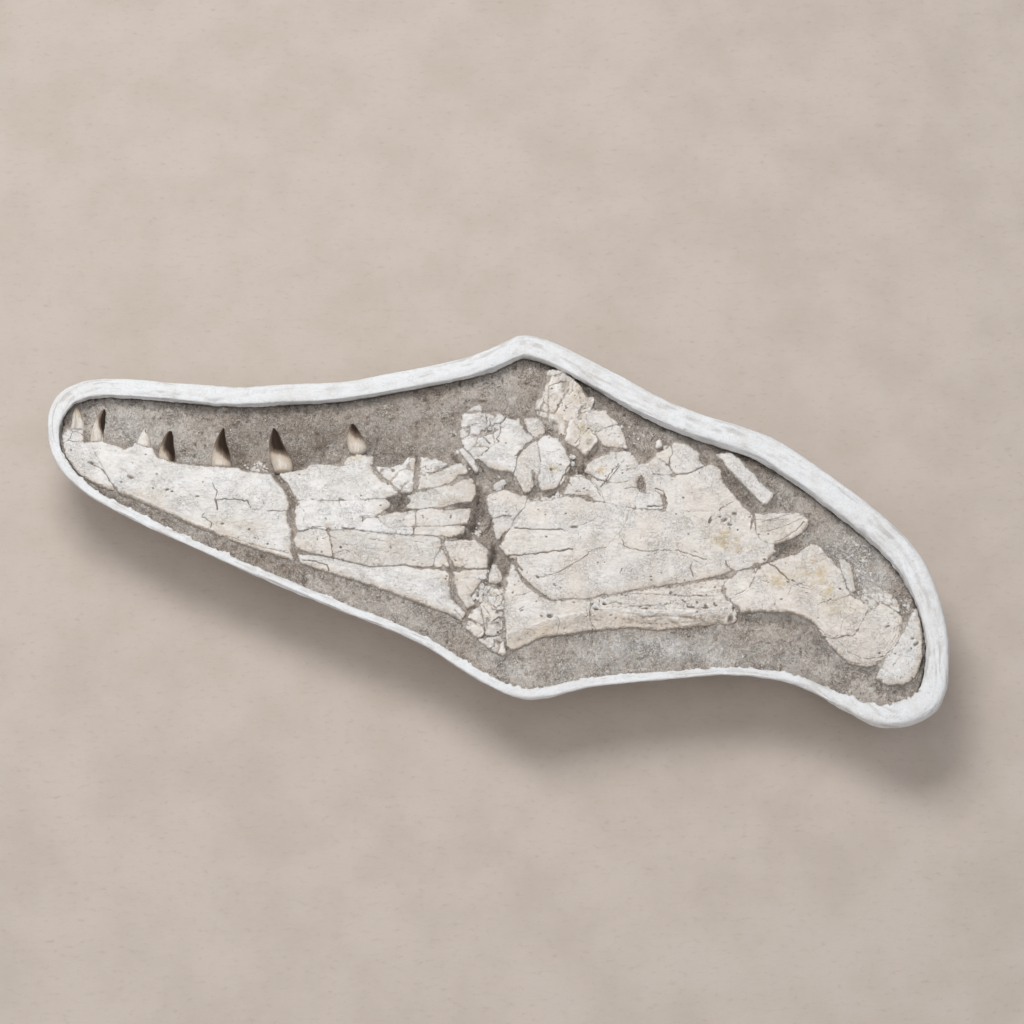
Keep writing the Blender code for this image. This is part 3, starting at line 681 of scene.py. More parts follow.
class Surface:
    """A material under construction, which holds its colour and its relief so far.

    Most calls add one node and give back its output. A coat goes over the colour so far, and a
    press goes over the relief so far.
    """

    def __init__(self, name: str, roughness: float, specular: float, ground: Colour) -> None:
        """Start a material.

        Args:
            name: its name.
            roughness: its roughness all over.
            specular: its specular level all over.
            ground: the colour under all its coats.
        """
        self.material = bpy.data.materials.new(name)
        self.material.use_nodes = True
        self.nodes = self.material.node_tree.nodes
        self.links = self.material.node_tree.links
        self.shader = self.nodes["Principled BSDF"]
        self.shader.inputs["Roughness"].default_value = roughness
        self.shader.inputs["Specular IOR Level"].default_value = specular
        self.colour: Socket | Colour = ground
        self.normal: Socket | None = None

    def node(self, kind: str, output: str, inputs: dict[str | int, object], **settings: object) -> Socket:
        """Add one node.

        Args:
            kind: its type, without the words that every shader node's type starts with.
            output: the output that is wanted.
            inputs: what its inputs get: an output is linked, and a plain value is set.
            settings: its other settings.

        Returns:
            The output.
        """
        node = self.nodes.new("ShaderNode" + kind)
        for name, value in settings.items():
            setattr(node, name, value)
        for name, value in inputs.items():
            if isinstance(value, bpy.types.NodeSocket):
                self.links.new(value, node.inputs[name])
            elif value is not None:
                node.inputs[name].default_value = value
        return node.outputs[output]

    def mark(self, mark: Mark) -> Socket:
        """The number that the mesh carries under a mark's name."""
        return self.node("Attribute", "Fac", {}, attribute_name=mark.value)

    def place(self, stretch: tuple[float, float, float] = (1.0, 1.0, 1.0), turn: float = 0.0) -> Socket:
        """Object coordinates, turned about Z by degrees and stretched.

        Args:
            stretch: what each coordinate is multiplied by.
            turn: the turn, in degrees.

        Returns:
            The coordinates.
        """
        where = self.node("TexCoord", "Object", {})
        return self.node("Mapping", "Vector", {
            "Vector": where, "Rotation": (0.0, 0.0, math.radians(turn)), "Scale": stretch})

    def noise(self, scale: float, detail: float = 4.0, roughness: float = 0.55,
              place: Socket | None = None, swirl: float = 0.0) -> Socket:
        """Cloudy noise from 0 to 1, swirled more or less.

        Args:
            scale: how fine it is.
            detail: how many finer layers it has.
            roughness: how strong they are.
            place: where it is read, if not at object coordinates.
            swirl: how much it is swirled.

        Returns:
            The noise.
        """
        return self.node("TexNoise", "Fac", {
            "Vector": place or self.place(), "Scale": scale, "Detail": detail,
            "Roughness": roughness, "Distortion": swirl})

    def specks(self, scale: float) -> Socket:
        """The distance from each place to the nearest of many scattered points."""
        return self.node("TexVoronoi", "Distance", {"Vector": self.place(), "Scale": scale})

    def spread(self, value: Socket, low: float, high: float, to_low: float = 0.0,
               to_high: float = 1.0) -> Socket:
        """A value's range from low to high, spread softly over another range.

        Args:
            value: the value.
            low: the start of its range.
            high: the end of its range.
            to_low: the start of the other range.
            to_high: the end of the other range.

        Returns:
            The value in its new range.
        """
        return self.node("MapRange", "Result", {
            "Value": value, "From Min": low, "From Max": high, "To Min": to_low, "To Max": to_high,
        }, interpolation_type="SMOOTHSTEP")

    def maths(self, operation: str, first: Socket | float, second: Socket | float) -> Socket:
        """Two values put together by an operation, kept in 0 to 1."""
        return self.node("Math", "Value", {0: first, 1: second}, operation=operation, use_clamp=True)

    def times(self, first: Socket | float, second: Socket | float) -> Socket:
        """The product of two values."""
        return self.maths("MULTIPLY", first, second)

    def strokes(self, scale: float, width: float, swirl: float) -> Socket:
        """Short curved lines: where a swirled noise is near its middle, in patches.

        Args:
            scale: the noise's scale.
            width: how far from its middle a line reaches.
            swirl: how much the noise is swirled.

        Returns:
            How much of each place is line.
        """
        cloudy = self.noise(scale, 2.0, 0.5, swirl=swirl)
        line = self.times(self.spread(cloudy, 0.5 - width, 0.5), self.spread(cloudy, 0.5 + width, 0.5))
        return self.times(line, self.spread(self.noise(0.3 * scale, 3.0), 0.44, 0.60))

    def coat(self, tint: Colour, share: Socket, strength: Socket | float = 1.0) -> None:
        """Lay a tint over the colour so far.

        Args:
            tint: the tint.
            share: how much of each place it covers.
            strength: what the share is multiplied by.
        """
        if strength != 1.0:
            share = self.times(share, strength)
        self.colour = self.node("Mix", "Result", {"Factor": share, "A": self.colour, "B": tint},
                                data_type="RGBA", blend_type="MIX")

    def press(self, height: Socket, distance: float, strength: float) -> None:
        """Press fine relief into the surface, over the relief so far.

        Args:
            height: the relief's height from 0 to 1.
            distance: the metres that a height of 1 stands for.
            strength: how strongly it shows.
        """
        self.normal = self.node("Bump", "Normal", {
            "Height": height, "Distance": distance, "Strength": strength, "Normal": self.normal})

    def finish(self, roughness: Socket | None = None) -> bpy.types.Material:
        """Plug the colour, the relief and a roughness that varies into the shader.

        Args:
            roughness: the roughness, or none where it is the same all over.

        Returns:
            The material.
        """
        self.links.new(self.colour, self.shader.inputs["Base Color"])
        self.links.new(self.normal, self.shader.inputs["Normal"])
        if roughness is not None:
            self.links.new(roughness, self.shader.inputs["Roughness"])
        return self.material


def tone(red: float, green: float, blue: float) -> Colour:
    """A colour seen as these shares of full brightness, as the shader's linear values."""
    return (red ** 2.2, green ** 2.2, blue ** 2.2, 1.0)


@dataclass(frozen=True)
class PlasterFinish:
    """White field-jacket plaster: chalky, streaked along the rim, grey with painted shade in its lows
    and where it meets the rock.
    """

    name: str = "plaster"
    white: Colour = tone(0.928, 0.932, 0.935)
    shade: Colour = tone(0.895, 0.89, 0.885)
    # a grey-brown for dust in the streaks and for painted shade in the lows and on the rim's inside
    dust_and_painted_shade: Colour = tone(0.60, 0.555, 0.51)
    roughness: float = 0.75
    specular: float = 0.2

    def build(self) -> bpy.types.Material:
        """Mottle the white, grey it by the marks (painted shade in the lows and on the rim's inside,
        dust in the brushed streaks), and add grain, dabs and strokes.

        Returns:
            The material.
        """
        made = Surface(self.name, self.roughness, self.specular, self.white)
        made.coat(self.shade, made.spread(made.noise(30.0, 6.0, 0.62), 0.42, 0.72))
        # painted shade: the rim's lows and its inner side, where it meets the rock, are greyed
        made.coat(self.dust_and_painted_shade, made.spread(made.mark(Mark.RELIEF), 0.46, 0.0), 0.17)
        made.coat(self.dust_and_painted_shade, made.mark(Mark.EDGE), made.spread(made.noise(160.0), 0.25, 0.65))
        strokes = made.noise(290.0, 4.0, 0.6, swirl=2.2)
        made.coat(self.dust_and_painted_shade, made.spread(strokes, 0.54, 0.70), 0.32)
        made.coat(self.dust_and_painted_shade, made.strokes(85.0, 0.03, 2.4), 0.16)
        made.coat(self.dust_and_painted_shade, made.mark(Mark.CRACK), 0.30)
        made.press(made.noise(800.0, 3.0), 0.0002, 0.5)
        made.press(strokes, 0.0016, 0.7)
        made.press(made.noise(120.0, 5.0, 0.55, swirl=1.2), 0.0016, 0.55)
        return made.finish()


@dataclass(frozen=True)
class GauzeFinish:
    """The jacket's hull: plaster over gauze bandages, whose weave shows through in patches."""

    name: str = "plaster_gauze"
    white: Colour = tone(0.945, 0.945, 0.935)
    shade: Colour = tone(0.86, 0.85, 0.825)
    dust_and_painted_shade: Colour = tone(0.66, 0.61, 0.55)
    roughness: float = 0.8
    specular: float = 0.2
    threads: float = 430.0

    def weave(self, made: Surface, kind: str) -> Socket:
        """Threads along one direction of the hull's own map.

        Args:
            made: the material.
            kind: the direction's name, X or Y.

        Returns:
            The threads' height from 0 to 1.
        """
        where = made.node("UVMap", "UV", {}, uv_map=HULL_MAP)
        return made.node("TexWave", "Fac", {
            "Vector": where, "Scale": self.threads / math.tau, "Distortion": 1.2, "Detail": 1.0,
        }, bands_direction=kind)

    def build(self) -> bpy.types.Material:
        """Mottle the white, grey the lows with painted shade, grey the foot and some patches, and
        press the weave into patches.

        Returns:
            The material.
        """
        made = Surface(self.name, self.roughness, self.specular, self.white)
        made.coat(self.shade, made.spread(made.noise(9.0, 6.0, 0.62), 0.36, 0.70))
        # painted shade: the hull's lows are greyed
        made.coat(self.dust_and_painted_shade, made.spread(made.mark(Mark.RELIEF), 0.50, 0.28), 0.45)
        made.coat(self.dust_and_painted_shade, made.mark(Mark.EDGE), made.spread(made.noise(48.0), 0.35, 0.62))
        threads = made.times(self.weave(made, "X"), self.weave(made, "Y"))
        made.press(made.times(made.spread(made.noise(14.0, 3.0), 0.42, 0.60), threads), 0.0005, 0.7)
        made.press(made.noise(520.0, 4.0, 0.6), 0.0003, 0.5)
        return made.finish()


@dataclass(frozen=True)
class RockFinish:
    """Grey-brown chalky matrix: grainy, brushed, flecked with white and dark grains."""

    name: str = "rock_matrix"
    mid: Colour = tone(0.81, 0.752, 0.70)
    pale: Colour = tone(0.915, 0.885, 0.85)
    brown: Colour = tone(0.62, 0.565, 0.52)
    shade: Colour = tone(0.47, 0.42, 0.375)
    dark: Colour = tone(0.30, 0.25, 0.21)
    fleck: Colour = tone(0.88, 0.865, 0.84)
    chalk: Colour = tone(0.965, 0.955, 0.945)
    roughness: float = 0.92
    specular: float = 0.12

    def build(self) -> bpy.types.Material:
        """Blend the tones by noise, relief and depth, with painted highlights on the relief's highs and
        painted shade in its lows and in shaded patches, then scatter flecks, dabs and strokes.

        Returns:
            The material.
        """
        made = Surface(self.name, self.roughness, self.specular, self.mid)
        made.coat(self.pale, made.spread(made.noise(14.0, 6.0, 0.6), 0.40, 0.66))
        swirls = made.noise(120.0, 5.0, 0.6, swirl=1.8)
        made.coat(self.brown, made.spread(swirls, 0.52, 0.72), 0.40)
        made.coat(self.pale, made.spread(swirls, 0.46, 0.30), 0.40)
        # painted highlight on the relief's highs and painted shade in its lows
        relief = made.mark(Mark.RELIEF)
        made.coat(self.pale, made.spread(relief, 0.52, 0.80), 0.5)
        made.coat(self.brown, made.spread(relief, 0.47, 0.22), 0.45)
        # painted shade: dark patches beside the teeth, under the far rim and below the bones' lower edges
        uneven = made.spread(made.noise(42.0, 5.0), 0.2, 0.7, 0.55, 1.0)
        made.coat(self.shade, made.times(made.mark(Mark.FLANK), uneven), 0.85)
        # the crack mark holds dark fillings and the painted shade bands along the wall and round the bones
        made.coat(self.dark, made.mark(Mark.CRACK))
        made.coat(self.pale, made.mark(Mark.WHITE), 0.72)
        made.coat(self.chalk, made.mark(Mark.WHITE),
                  made.spread(made.noise(75.0, 6.0, 0.65, swirl=1.0), 0.38, 0.62))
        made.coat(self.dark, made.spread(made.noise(1100.0, 2.0, 0.7), 0.60, 0.74), 0.42)
        made.coat(self.fleck, made.spread(made.specks(330.0), 0.16, 0.08),
                  made.spread(made.noise(60.0, 2.0), 0.54, 0.66))
        dabs = made.noise(310.0, 3.0, 0.6, made.place((1.0, 0.6, 1.0), 25.0), 2.4)
        made.coat(self.brown, made.spread(dabs, 0.50, 0.64), 0.60)
        made.coat(self.pale, made.spread(dabs, 0.47, 0.35), 0.72)
        strokes = made.strokes(150.0, 0.10, 1.8)
        made.coat(self.pale, strokes, 0.75)
        wisps = made.strokes(100.0, 0.07, 2.6)
        made.coat(self.shade, wisps, 0.60)
        made.coat(self.dark, made.strokes(215.0, 0.05, 2.4), 0.55)
        made.press(made.noise(800.0, 4.0, 0.7), 0.0008, 0.7)
        made.press(dabs, 0.0034, 0.8)
        made.press(made.maths("SUBTRACT", 1.0, wisps), 0.0012, 0.8)
        made.press(strokes, 0.0012, 0.8)
        made.press(swirls, 0.0058, 0.85)
        return made.finish()


@dataclass(frozen=True)
class BoneFinish:
    """Mineralised bone: cream to white, brown in its cracks and pits, stained with ochre, with
    painted highlights on its highs and painted shade in its lows and on its flanks.
    """

    name: str = "fossil_bone"
    cream: Colour = tone(0.918, 0.898, 0.876)
    warm: Colour = tone(0.898, 0.865, 0.827)
    white: Colour = tone(0.957, 0.943, 0.928)
    ochre: Colour = tone(0.82, 0.74, 0.60)
    brown: Colour = tone(0.60, 0.535, 0.475)
    # a tan used at random in the swirls and as the tone of painted shade on flanks and walls
    flank: Colour = tone(0.815, 0.755, 0.69)
    dark: Colour = tone(0.34, 0.285, 0.24)
    grey: Colour = tone(0.79, 0.745, 0.70)
    greyness: float = 0.12
    roughness: float = 0.66
    specular: float = 0.25

    def build(self) -> bpy.types.Material:
        """Blend the creams by noise, paint highlights on the high places and shade in the low places
        and on the flanks, and darken cracks and pits.

        Returns:
            The material.
        """
        made = Surface(self.name, self.roughness, self.specular, self.cream)
        made.coat(self.warm, made.spread(made.noise(17.0, 6.0, 0.6), 0.38, 0.62))
        made.coat(self.grey, made.spread(made.noise(38.0, 7.0, 0.7, swirl=0.6), 0.50, 0.74), self.greyness)
        swirls = made.noise(150.0, 5.0, 0.6, made.place((0.65, 1.0, 1.0), 14.0), 2.2)
        made.coat(self.flank, made.spread(swirls, 0.52, 0.68), 0.36)
        made.coat(self.white, made.spread(swirls, 0.47, 0.35), 0.50)
        # painted shade: flanks turned away from the light and the walls are darkened to tan
        uneven = made.spread(made.noise(65.0, 6.0, 0.65), 0.25, 0.60, 0.35, 1.0)
        made.coat(self.flank, made.times(made.mark(Mark.FLANK), uneven), 0.85)
        made.coat(self.ochre, made.mark(Mark.OCHRE), made.spread(made.noise(85.0, 6.0, 0.72), 0.36, 0.62))
        # painted highlight: high places lifted to white; painted shade: low places darkened brown, in patches
        relief = made.mark(Mark.RELIEF)
        made.coat(self.white, made.spread(relief, 0.54, 0.76), 0.75)
        patchy_shade = made.spread(made.noise(220.0, 4.0, 0.6), 0.25, 0.60, 0.45, 1.0)
        made.coat(self.brown, made.times(made.spread(relief, 0.470, 0.24), patchy_shade), 0.75)
        made.coat(self.brown, made.mark(Mark.EDGE), made.spread(made.noise(130.0, 5.0, 0.6), 0.35, 0.65))
        made.coat(self.dark, made.mark(Mark.CRACK))
        made.coat(self.brown, made.spread(made.noise(620.0, 3.0, 0.65), 0.66, 0.76), 0.35)
        strokes = made.strokes(140.0, 0.08, 1.8)
        made.coat(self.white, strokes, 0.40)
        wisps = made.strokes(95.0, 0.035, 2.6)
        made.coat(self.brown, wisps, 0.26)
        made.press(made.noise(1400.0, 3.0, 0.6), 0.00025, 0.6)
        made.press(made.maths("SUBTRACT", 1.0, wisps), 0.0008, 0.7)
        made.press(strokes, 0.0008, 0.7)
        made.press(swirls, 0.0034, 0.75)
        return made.finish()


@dataclass(frozen=True)
class EnamelFinish:
    """A tooth: dark brown, glossy enamel over a paler base."""

    name: str = "tooth"
    dark: Colour = tone(0.185, 0.135, 0.10)
    brown: Colour = tone(0.45, 0.385, 0.33)
    beige: Colour = tone(0.765, 0.715, 0.66)
    pale: Colour = tone(0.88, 0.862, 0.838)
    ochre: Colour = tone(0.80, 0.735, 0.64)
    roughness: float = 0.5
    specular: float = 0.22

    def build(self) -> bpy.types.Material:
        """Run from pale to dark along the enamel mark, drawn out into streaks.

        Returns:
            The material.
        """
        made = Surface(self.name, self.roughness, self.specular, self.pale)
        streak = made.noise(420.0, 5.0, 0.6, made.place((1.0, 0.22, 1.0)))
        enamel = made.maths("ADD", made.mark(Mark.ENAMEL), made.spread(streak, 0.2, 0.8, -0.07, 0.07))
        made.coat(self.beige, made.spread(enamel, 0.02, 0.16))
        made.coat(self.ochre, made.spread(made.noise(170.0), 0.45, 0.6), 0.5)
        made.coat(self.brown, made.spread(enamel, 0.20, 0.58))
        made.coat(self.dark, made.spread(enamel, 0.52, 0.98))
        made.coat(self.dark, made.mark(Mark.CRACK))
        # painted highlight at the tip, from the white mark
        made.coat(self.pale, made.mark(Mark.WHITE))
        made.press(streak, 0.0004, 0.5)
        return made.finish(made.spread(enamel, 0.2, 0.6, 0.62, 0.42))


@dataclass(frozen=True)
class FloorFinish:
    """The plain pale floor."""

    name: str = "floor"
    colour: Colour = tone(0.775, 0.728, 0.69)
    cloudy: Colour = tone(0.745, 0.698, 0.655)
    grains: Colour = tone(0.66, 0.61, 0.565)
    roughness: float = 0.9
    specular: float = 0.1

    def build(self) -> bpy.types.Material:
        """One soft tone with the faintest clouding and grain.

        Returns:
            The material.
        """
        made = Surface(self.name, self.roughness, self.specular, self.colour)
        made.coat(self.cloudy, made.spread(made.noise(9.0, 8.0, 0.6), 0.35, 0.7))
        grains = made.noise(150.0, 8.0, 0.72, made.place((0.5, 1.0, 1.0)))
        made.coat(self.grains, made.spread(grains, 0.52, 0.75), 0.55)
        made.press(grains, 0.0012, 0.5)
        return made.finish()


@dataclass(frozen=True)
class Crack:
    """A crack: its route, how wide and deep it is, and how dark its filling."""

    route: tuple[tuple[float, float], ...]
    width: float
    depth: float
    dark: float


@dataclass(frozen=True)
class Dent:
    """A pit, or with a negative depth a bump: its middle, its length and width, turn and depth."""

    x: float
    y: float
    length: float
    width: float
    depth: float = 1.2
    turn: float = 0.0
    dark: float = 0.7

    def away(self, places: Array) -> Array:
        """How far each place is from the middle, as a share of the way to the pit's edge.

        Args:
            places: rows of x, y.

        Returns:
            One share for each place.
        """
        c, s = math.cos(math.radians(self.turn)), math.sin(math.radians(self.turn))
        dx, dy = places[:, 0] - self.x, places[:, 1] - self.y
        return np.hypot((dx * c + dy * s) / (self.length / 2), (dy * c - dx * s) / (self.width / 2))


@dataclass(frozen=True)
class Stain:
    """A cloudy spot of ochre."""

    x: float
    y: float
    along: float
    across: float
    strength: float = 1.0


def cracks_of(rows: tuple[tuple[float, ...], ...]) -> tuple[Crack, ...]:
    """The cracks of a table whose rows hold width, depth, darkness and then x, y, x, y and so on."""
    return tuple(Crack(tuple(zip(row[3::2], row[4::2])), *row[:3]) for row in rows)


# Cracks in the bone
CRACK_ROWS = (
    (0.6, 1.0, 0.75, -541.5, 153.5, -533, 148, -535.5, 137, -545, 129, -550, 131),
    (0.6, 0.9, 0.75, -533, 148, -529, 147, -518, 142, -520, 131, -538, 134),
    (1.0, 1.4, 0.75, -352, 73, -350, 66, -346, 63, -348, 50),
    (1.0, 1.3, 0.75, -348, 50, -335, 51, -320, 50, -308, 48, -304, 40),
    (1.2, 1.4, 0.9, -348, 50, -344.5, 37), (0.8, 1.0, 0.75, -282, 34.5, -256, 34),
    (0.5, 0.6, 0.75, -315, 37, -292, 36),
    (0.9, 1.0, 0.75, -362, 33, -364, 29, -360, 27, -355, 24, -352, 20, -353, 15),
    (1.0, 1.2, 0.75, -510, 103, -492, 92, -487, 86, -484, 78),
    (0.5, 0.9, 0.5, -335, 4, -318, -2, -288, -12, -254, -20), (1.0, 0.8, 0.5, -166, 25, -141, 24.5),
    (0.7, 0.7, 0.75, -160, 27, -160, 21), (0.5, 0.5, 0.4, -96.5, -9.5, -91.5, -20.5),
    (0.6, 0.8, 0.75, -192, 48, -190, 40),
    (0.8, 0.9, 0.6, 58, -53, 75, -49.5, 84, -46, 92, -42, 100, -36, 108, -31, 115, -28, 122, -20, 128, -17,
     135, -16, 143, -14),
    (0.45, 0.5, 0.35, 143, -14, 150, -5, 158, 3, 163, 10, 167, 18, 170, 27, 172, 36),
    (1.0, 1.3, 0.75, 28, 12, 50, 10, 75, 9.5, 88, 10), (0.5, 0.6, 0.4, 103, 13, 115, 17, 122, 21, 130, 25),
    (1.2, 1.4, 0.75, 17, -27, 22, -24.5, 28, -24, 50, -22.5, 74, -19.5, 90, -18, 100, -16),
    (1.2, 1.2, 0.75, 30, -28, 33, -38, 38, -43.5),
    (0.8, 1.0, 0.6, 163.5, -5, 165, -12, 172, -16, 190, -19, 232, -18, 250, -25, 268, -31),
    (0.5, 0.6, 0.4, 232, -22, 245, -28, 262, -36), (0.9, 1.0, 0.75, 250, -34, 247, -42, 251, -52),
    (0.8, 0.9, 0.75, 291.5, -31.5, 293, -39.5, 300, -45), (0.8, 0.9, 0.75, 303, 50, 289, 41, 285, 37),
    (0.6, 0.6, 0.4, 240, 36.5, 272, 36), (0.8, 0.8, 0.75, 162, -43, 160, -50),
    (0.7, 0.7, 0.75, 168, 70, 182, 71.5), (0.7, 0.8, 0.75, 171.5, 96, 176, 98.5, 182, 99),
    (0.7, 0.9, 0.75, 8, 29, 16, 29.5, 24, 28), (0.5, 0.5, 0.4, 25.5, -82.5, 49.5, -74.5),
    (1.0, 1.3, 0.75, 346, -34, 355, -41, 363, -50, 370, -58), (0.8, 0.8, 0.5, 370, -58, 382, -63, 395, -68),
    (0.5, 0.7, 0.5, 505.8, -159, 499, -166, 493.3, -175), (0.6, 0.7, 0.5, 104, 160, 112, 150, 110, 138),
    (0.5, 0.6, 0.4, 66, 190, 76, 182, 84, 170), (0.5, 0.6, 0.4, 44, 150, 52, 158, 60, 160),
    (0.4, 0.5, 0.35, 20, 120, 34, 128, 48, 130), (0.4, 0.5, 0.35, -60, -20, -40, -12, -20, -14),
    (0.4, 0.5, 0.3, -215, 88, -205, 74, -220, 60), (0.5, 0.6, 0.4, 322, 27, 345, 22, 372, 26),
    (0.5, 0.6, 0.4, 430, -128, 436, -112, 448, -104),
    (1.0, 1.6, 0.95, 206, 69.5, 216, 66, 219, 55, 215, 44, 196, 42.5),
)


class Kind(Enum):
    """How wide and deep a crack is, and how dark its filling."""

    HAIR = (0.45, 0.6, 0.32)
    FINE = (0.6, 0.9, 0.5)
    OPEN = (0.85, 1.3, 0.8)
    VALE = (1.5, 0.7, 0.22)


# More cracks in the bone, by kind: each a row of x, y, x, y and so on
ROUTES = {
    Kind.HAIR: (
        (-39, 136, -28, 140, -18, 146, -12, 152), (-28, 125, -21, 129, -16, 135),
        (-34, 155, -23, 160, -14, 158, -8, 165), (95, 185, 103, 190, 109, 197), (62, 195, 56, 183, 61, 175),
        (83, 235, 78, 223, 76, 212), (92, 152, 104, 160, 115, 166), (142, 140, 152, 146, 162, 146),
        (62, 95, 81, 93, 93, 87), (61, 121, 76, 118, 86, 121), (-198, -9, -171, -12, -146, -18, -115, -24),
        (-172, 33, -147, 31), (-198, -5, -184, -6), (-158, 2, -151, 5, -134, 5),
        (-95, -9, -91, -20, -86, -23), (-101, -7, -85, -9), (-242, 42, -234, 31, -236, 20),
        (-199, 95, -186, 101), (-202, -24, -184, -18, -165, -25), (-25, -76, -17, -68, -12, -62),
        (-32, -68, -26, -73, -30, -84), (-5, -38, -2, -50, -7, -61), (-7, -80, 3, -76, 10, -80),
        (-5, -47, 5, -43, 8, -53), (238, -69, 247, -62, 259, -61), (190, -69, 203, -72, 213, -68),
        (213, -76, 219, -68), (261, -100, 278, -99, 295, -97), (184, -114, 214, -115, 258, -112),
        (280, -106, 290, -103, 299, -106), (80, -89, 75, -97, 68, -101),
        (18, -89, 25, -88, 27, -81, 41, -78, 54, -73), (16, -64, 18, -84, 15, -106),
        (249, 38, 261, 38, 269, 37), (303, 37, 306, 40, 308, 35, 305, 33),
        (286, 45, 293, 51, 301, 52, 298, 44), (310, -23, 323, -20, 335, -17, 348, -12),
        (248, -17, 260, -24, 272, -29, 266, -38), (371, -66, 383, -68, 398, -72),
        (353, -47, 365, -58, 373, -66, 369, -77, 364, -88), (383, -91, 401, -93, 417, -87, 430, -85),
        (447, -170, 466, -170, 481, -166, 495, -155), (428, -142, 439, -154),
    ),
    Kind.FINE: (
        (105, 172, 118, 175, 127, 177), (105, 131, 115, 143, 122, 152),
        (132, 145, 140, 152, 150, 156, 157, 160), (149, 170, 154, 160, 152, 152),
        (119, 88, 134, 81, 144, 79, 155, 77, 172, 81), (103, 86, 113, 86, 124, 80, 131, 70, 136, 59),
        (62, 142, 58, 131, 60, 116, 62, 104), (-235, 12, -226, 12, -213, 13, -203, 9),
        (-212, -3, -203, 1, -195, -3), (-166, 27, -146, 27), (-153, -3, -137, -6),
        (-10, -70, -7, -78, -4, -88, 6, -96, 11, -92, 14, -81, 6, -68, -6, -66),
        (-11, -92, -6, -100, 0, -108), (11, -107, 10, -118, 14, -126),
        (-36, -108, -28, -108, -21, -115, -17, -120, -10, -120), (-15, -65, -10, -76, -11, -87),
        (-46, -97, -37, -107, -29, -119), (162, -78, 184, -77, 209, -78, 246, -80, 279, -80),
        (139, -96, 165, -95, 196, -93, 215, -91, 229, -87), (229, -70, 234, -61),
        (131, -80, 139, -84, 149, -81, 157, -77), (144, -92, 153, -88, 160, -92),
        (246, -92, 256, -96, 263, -100), (327, -38, 328, -51, 321, -66, 315, -73, 302, -80),
        (29, -43, 35, -51, 42, -57, 49, -62), (81, -126, 84, -116, 81, -107),
        (128, -122, 122, -111, 117, -100), (289, 28, 294, 31, 299, 27, 299, 20, 292, 17, 287, 20, 288, 26),
        (350, -29, 360, -20, 373, -13, 382, -3, 390, 8, 395, 20),
        (429, -84, 445, -78, 455, -84, 465, -91, 469, -93),
        (439, -155, 454, -163, 469, -164, 484, -160, 495, -151, 502, -138),
        (338, 21, 355, 26, 374, 33, 387, 38), (341, 6, 359, 12, 379, 23, 392, 30),
        (353, -7, 365, -2, 373, 4, 383, 12, 392, 24),
        (469, -93, 464, -103, 459, -114, 456, -119, 452, -128, 444, -136, 438, -134, 428, -134, 422, -138,
         412, -132, 404, -124),
    ),
    Kind.OPEN: (
        (10, 162, 11, 152, 8, 142, 5, 138, 8, 133, -3, 125, -8, 119, -16, 109, -21, 108),
        (-12, 139, -3, 131), (-8, 172, -7, 162, 1, 159, 10, 160, 16, 166, 19, 173),
        (71, 212, 80, 216, 88, 220, 95, 220), (122, 152, 129, 143, 133, 136, 138, 131, 144, 126, 162, 126),
        (160, 104, 151, 93, 144, 81, 137, 72), (94, 81, 101, 73), (101, 105, 93, 91, 86, 76, 82, 70),
        (29, 111, 36, 119, 48, 129), (-188, 10, -172, 10), (-206, 8, -202, -6, -199, -20),
        (-237, -29, -221, -31, -206, -36, -203, -44), (-162, 26, -162, 19), (-26, -81, -21, -85, -18, -92),
        (-17, -87, -15, -95, -13, -100), (0, -115, 5, -111, 10, -107), (-11, -122, -8, -130, -6, -135),
        (2, -138, 4, -142, 3, -147, -1, -150), (34, -100, 39, -95), (271, 20, 275, 28),
    ),
    Kind.VALE: (
        (74, 232, 71, 215, 72, 195, 71, 177, 70, 160), (98, 209, 90, 195, 81, 177),
        (184, -107, 208, -106, 246, -107, 263, -110),
    ),
}
CRACKS = cracks_of(CRACK_ROWS) + cracks_of(
    tuple(kind.value + route for kind, routes in ROUTES.items() for route in routes))
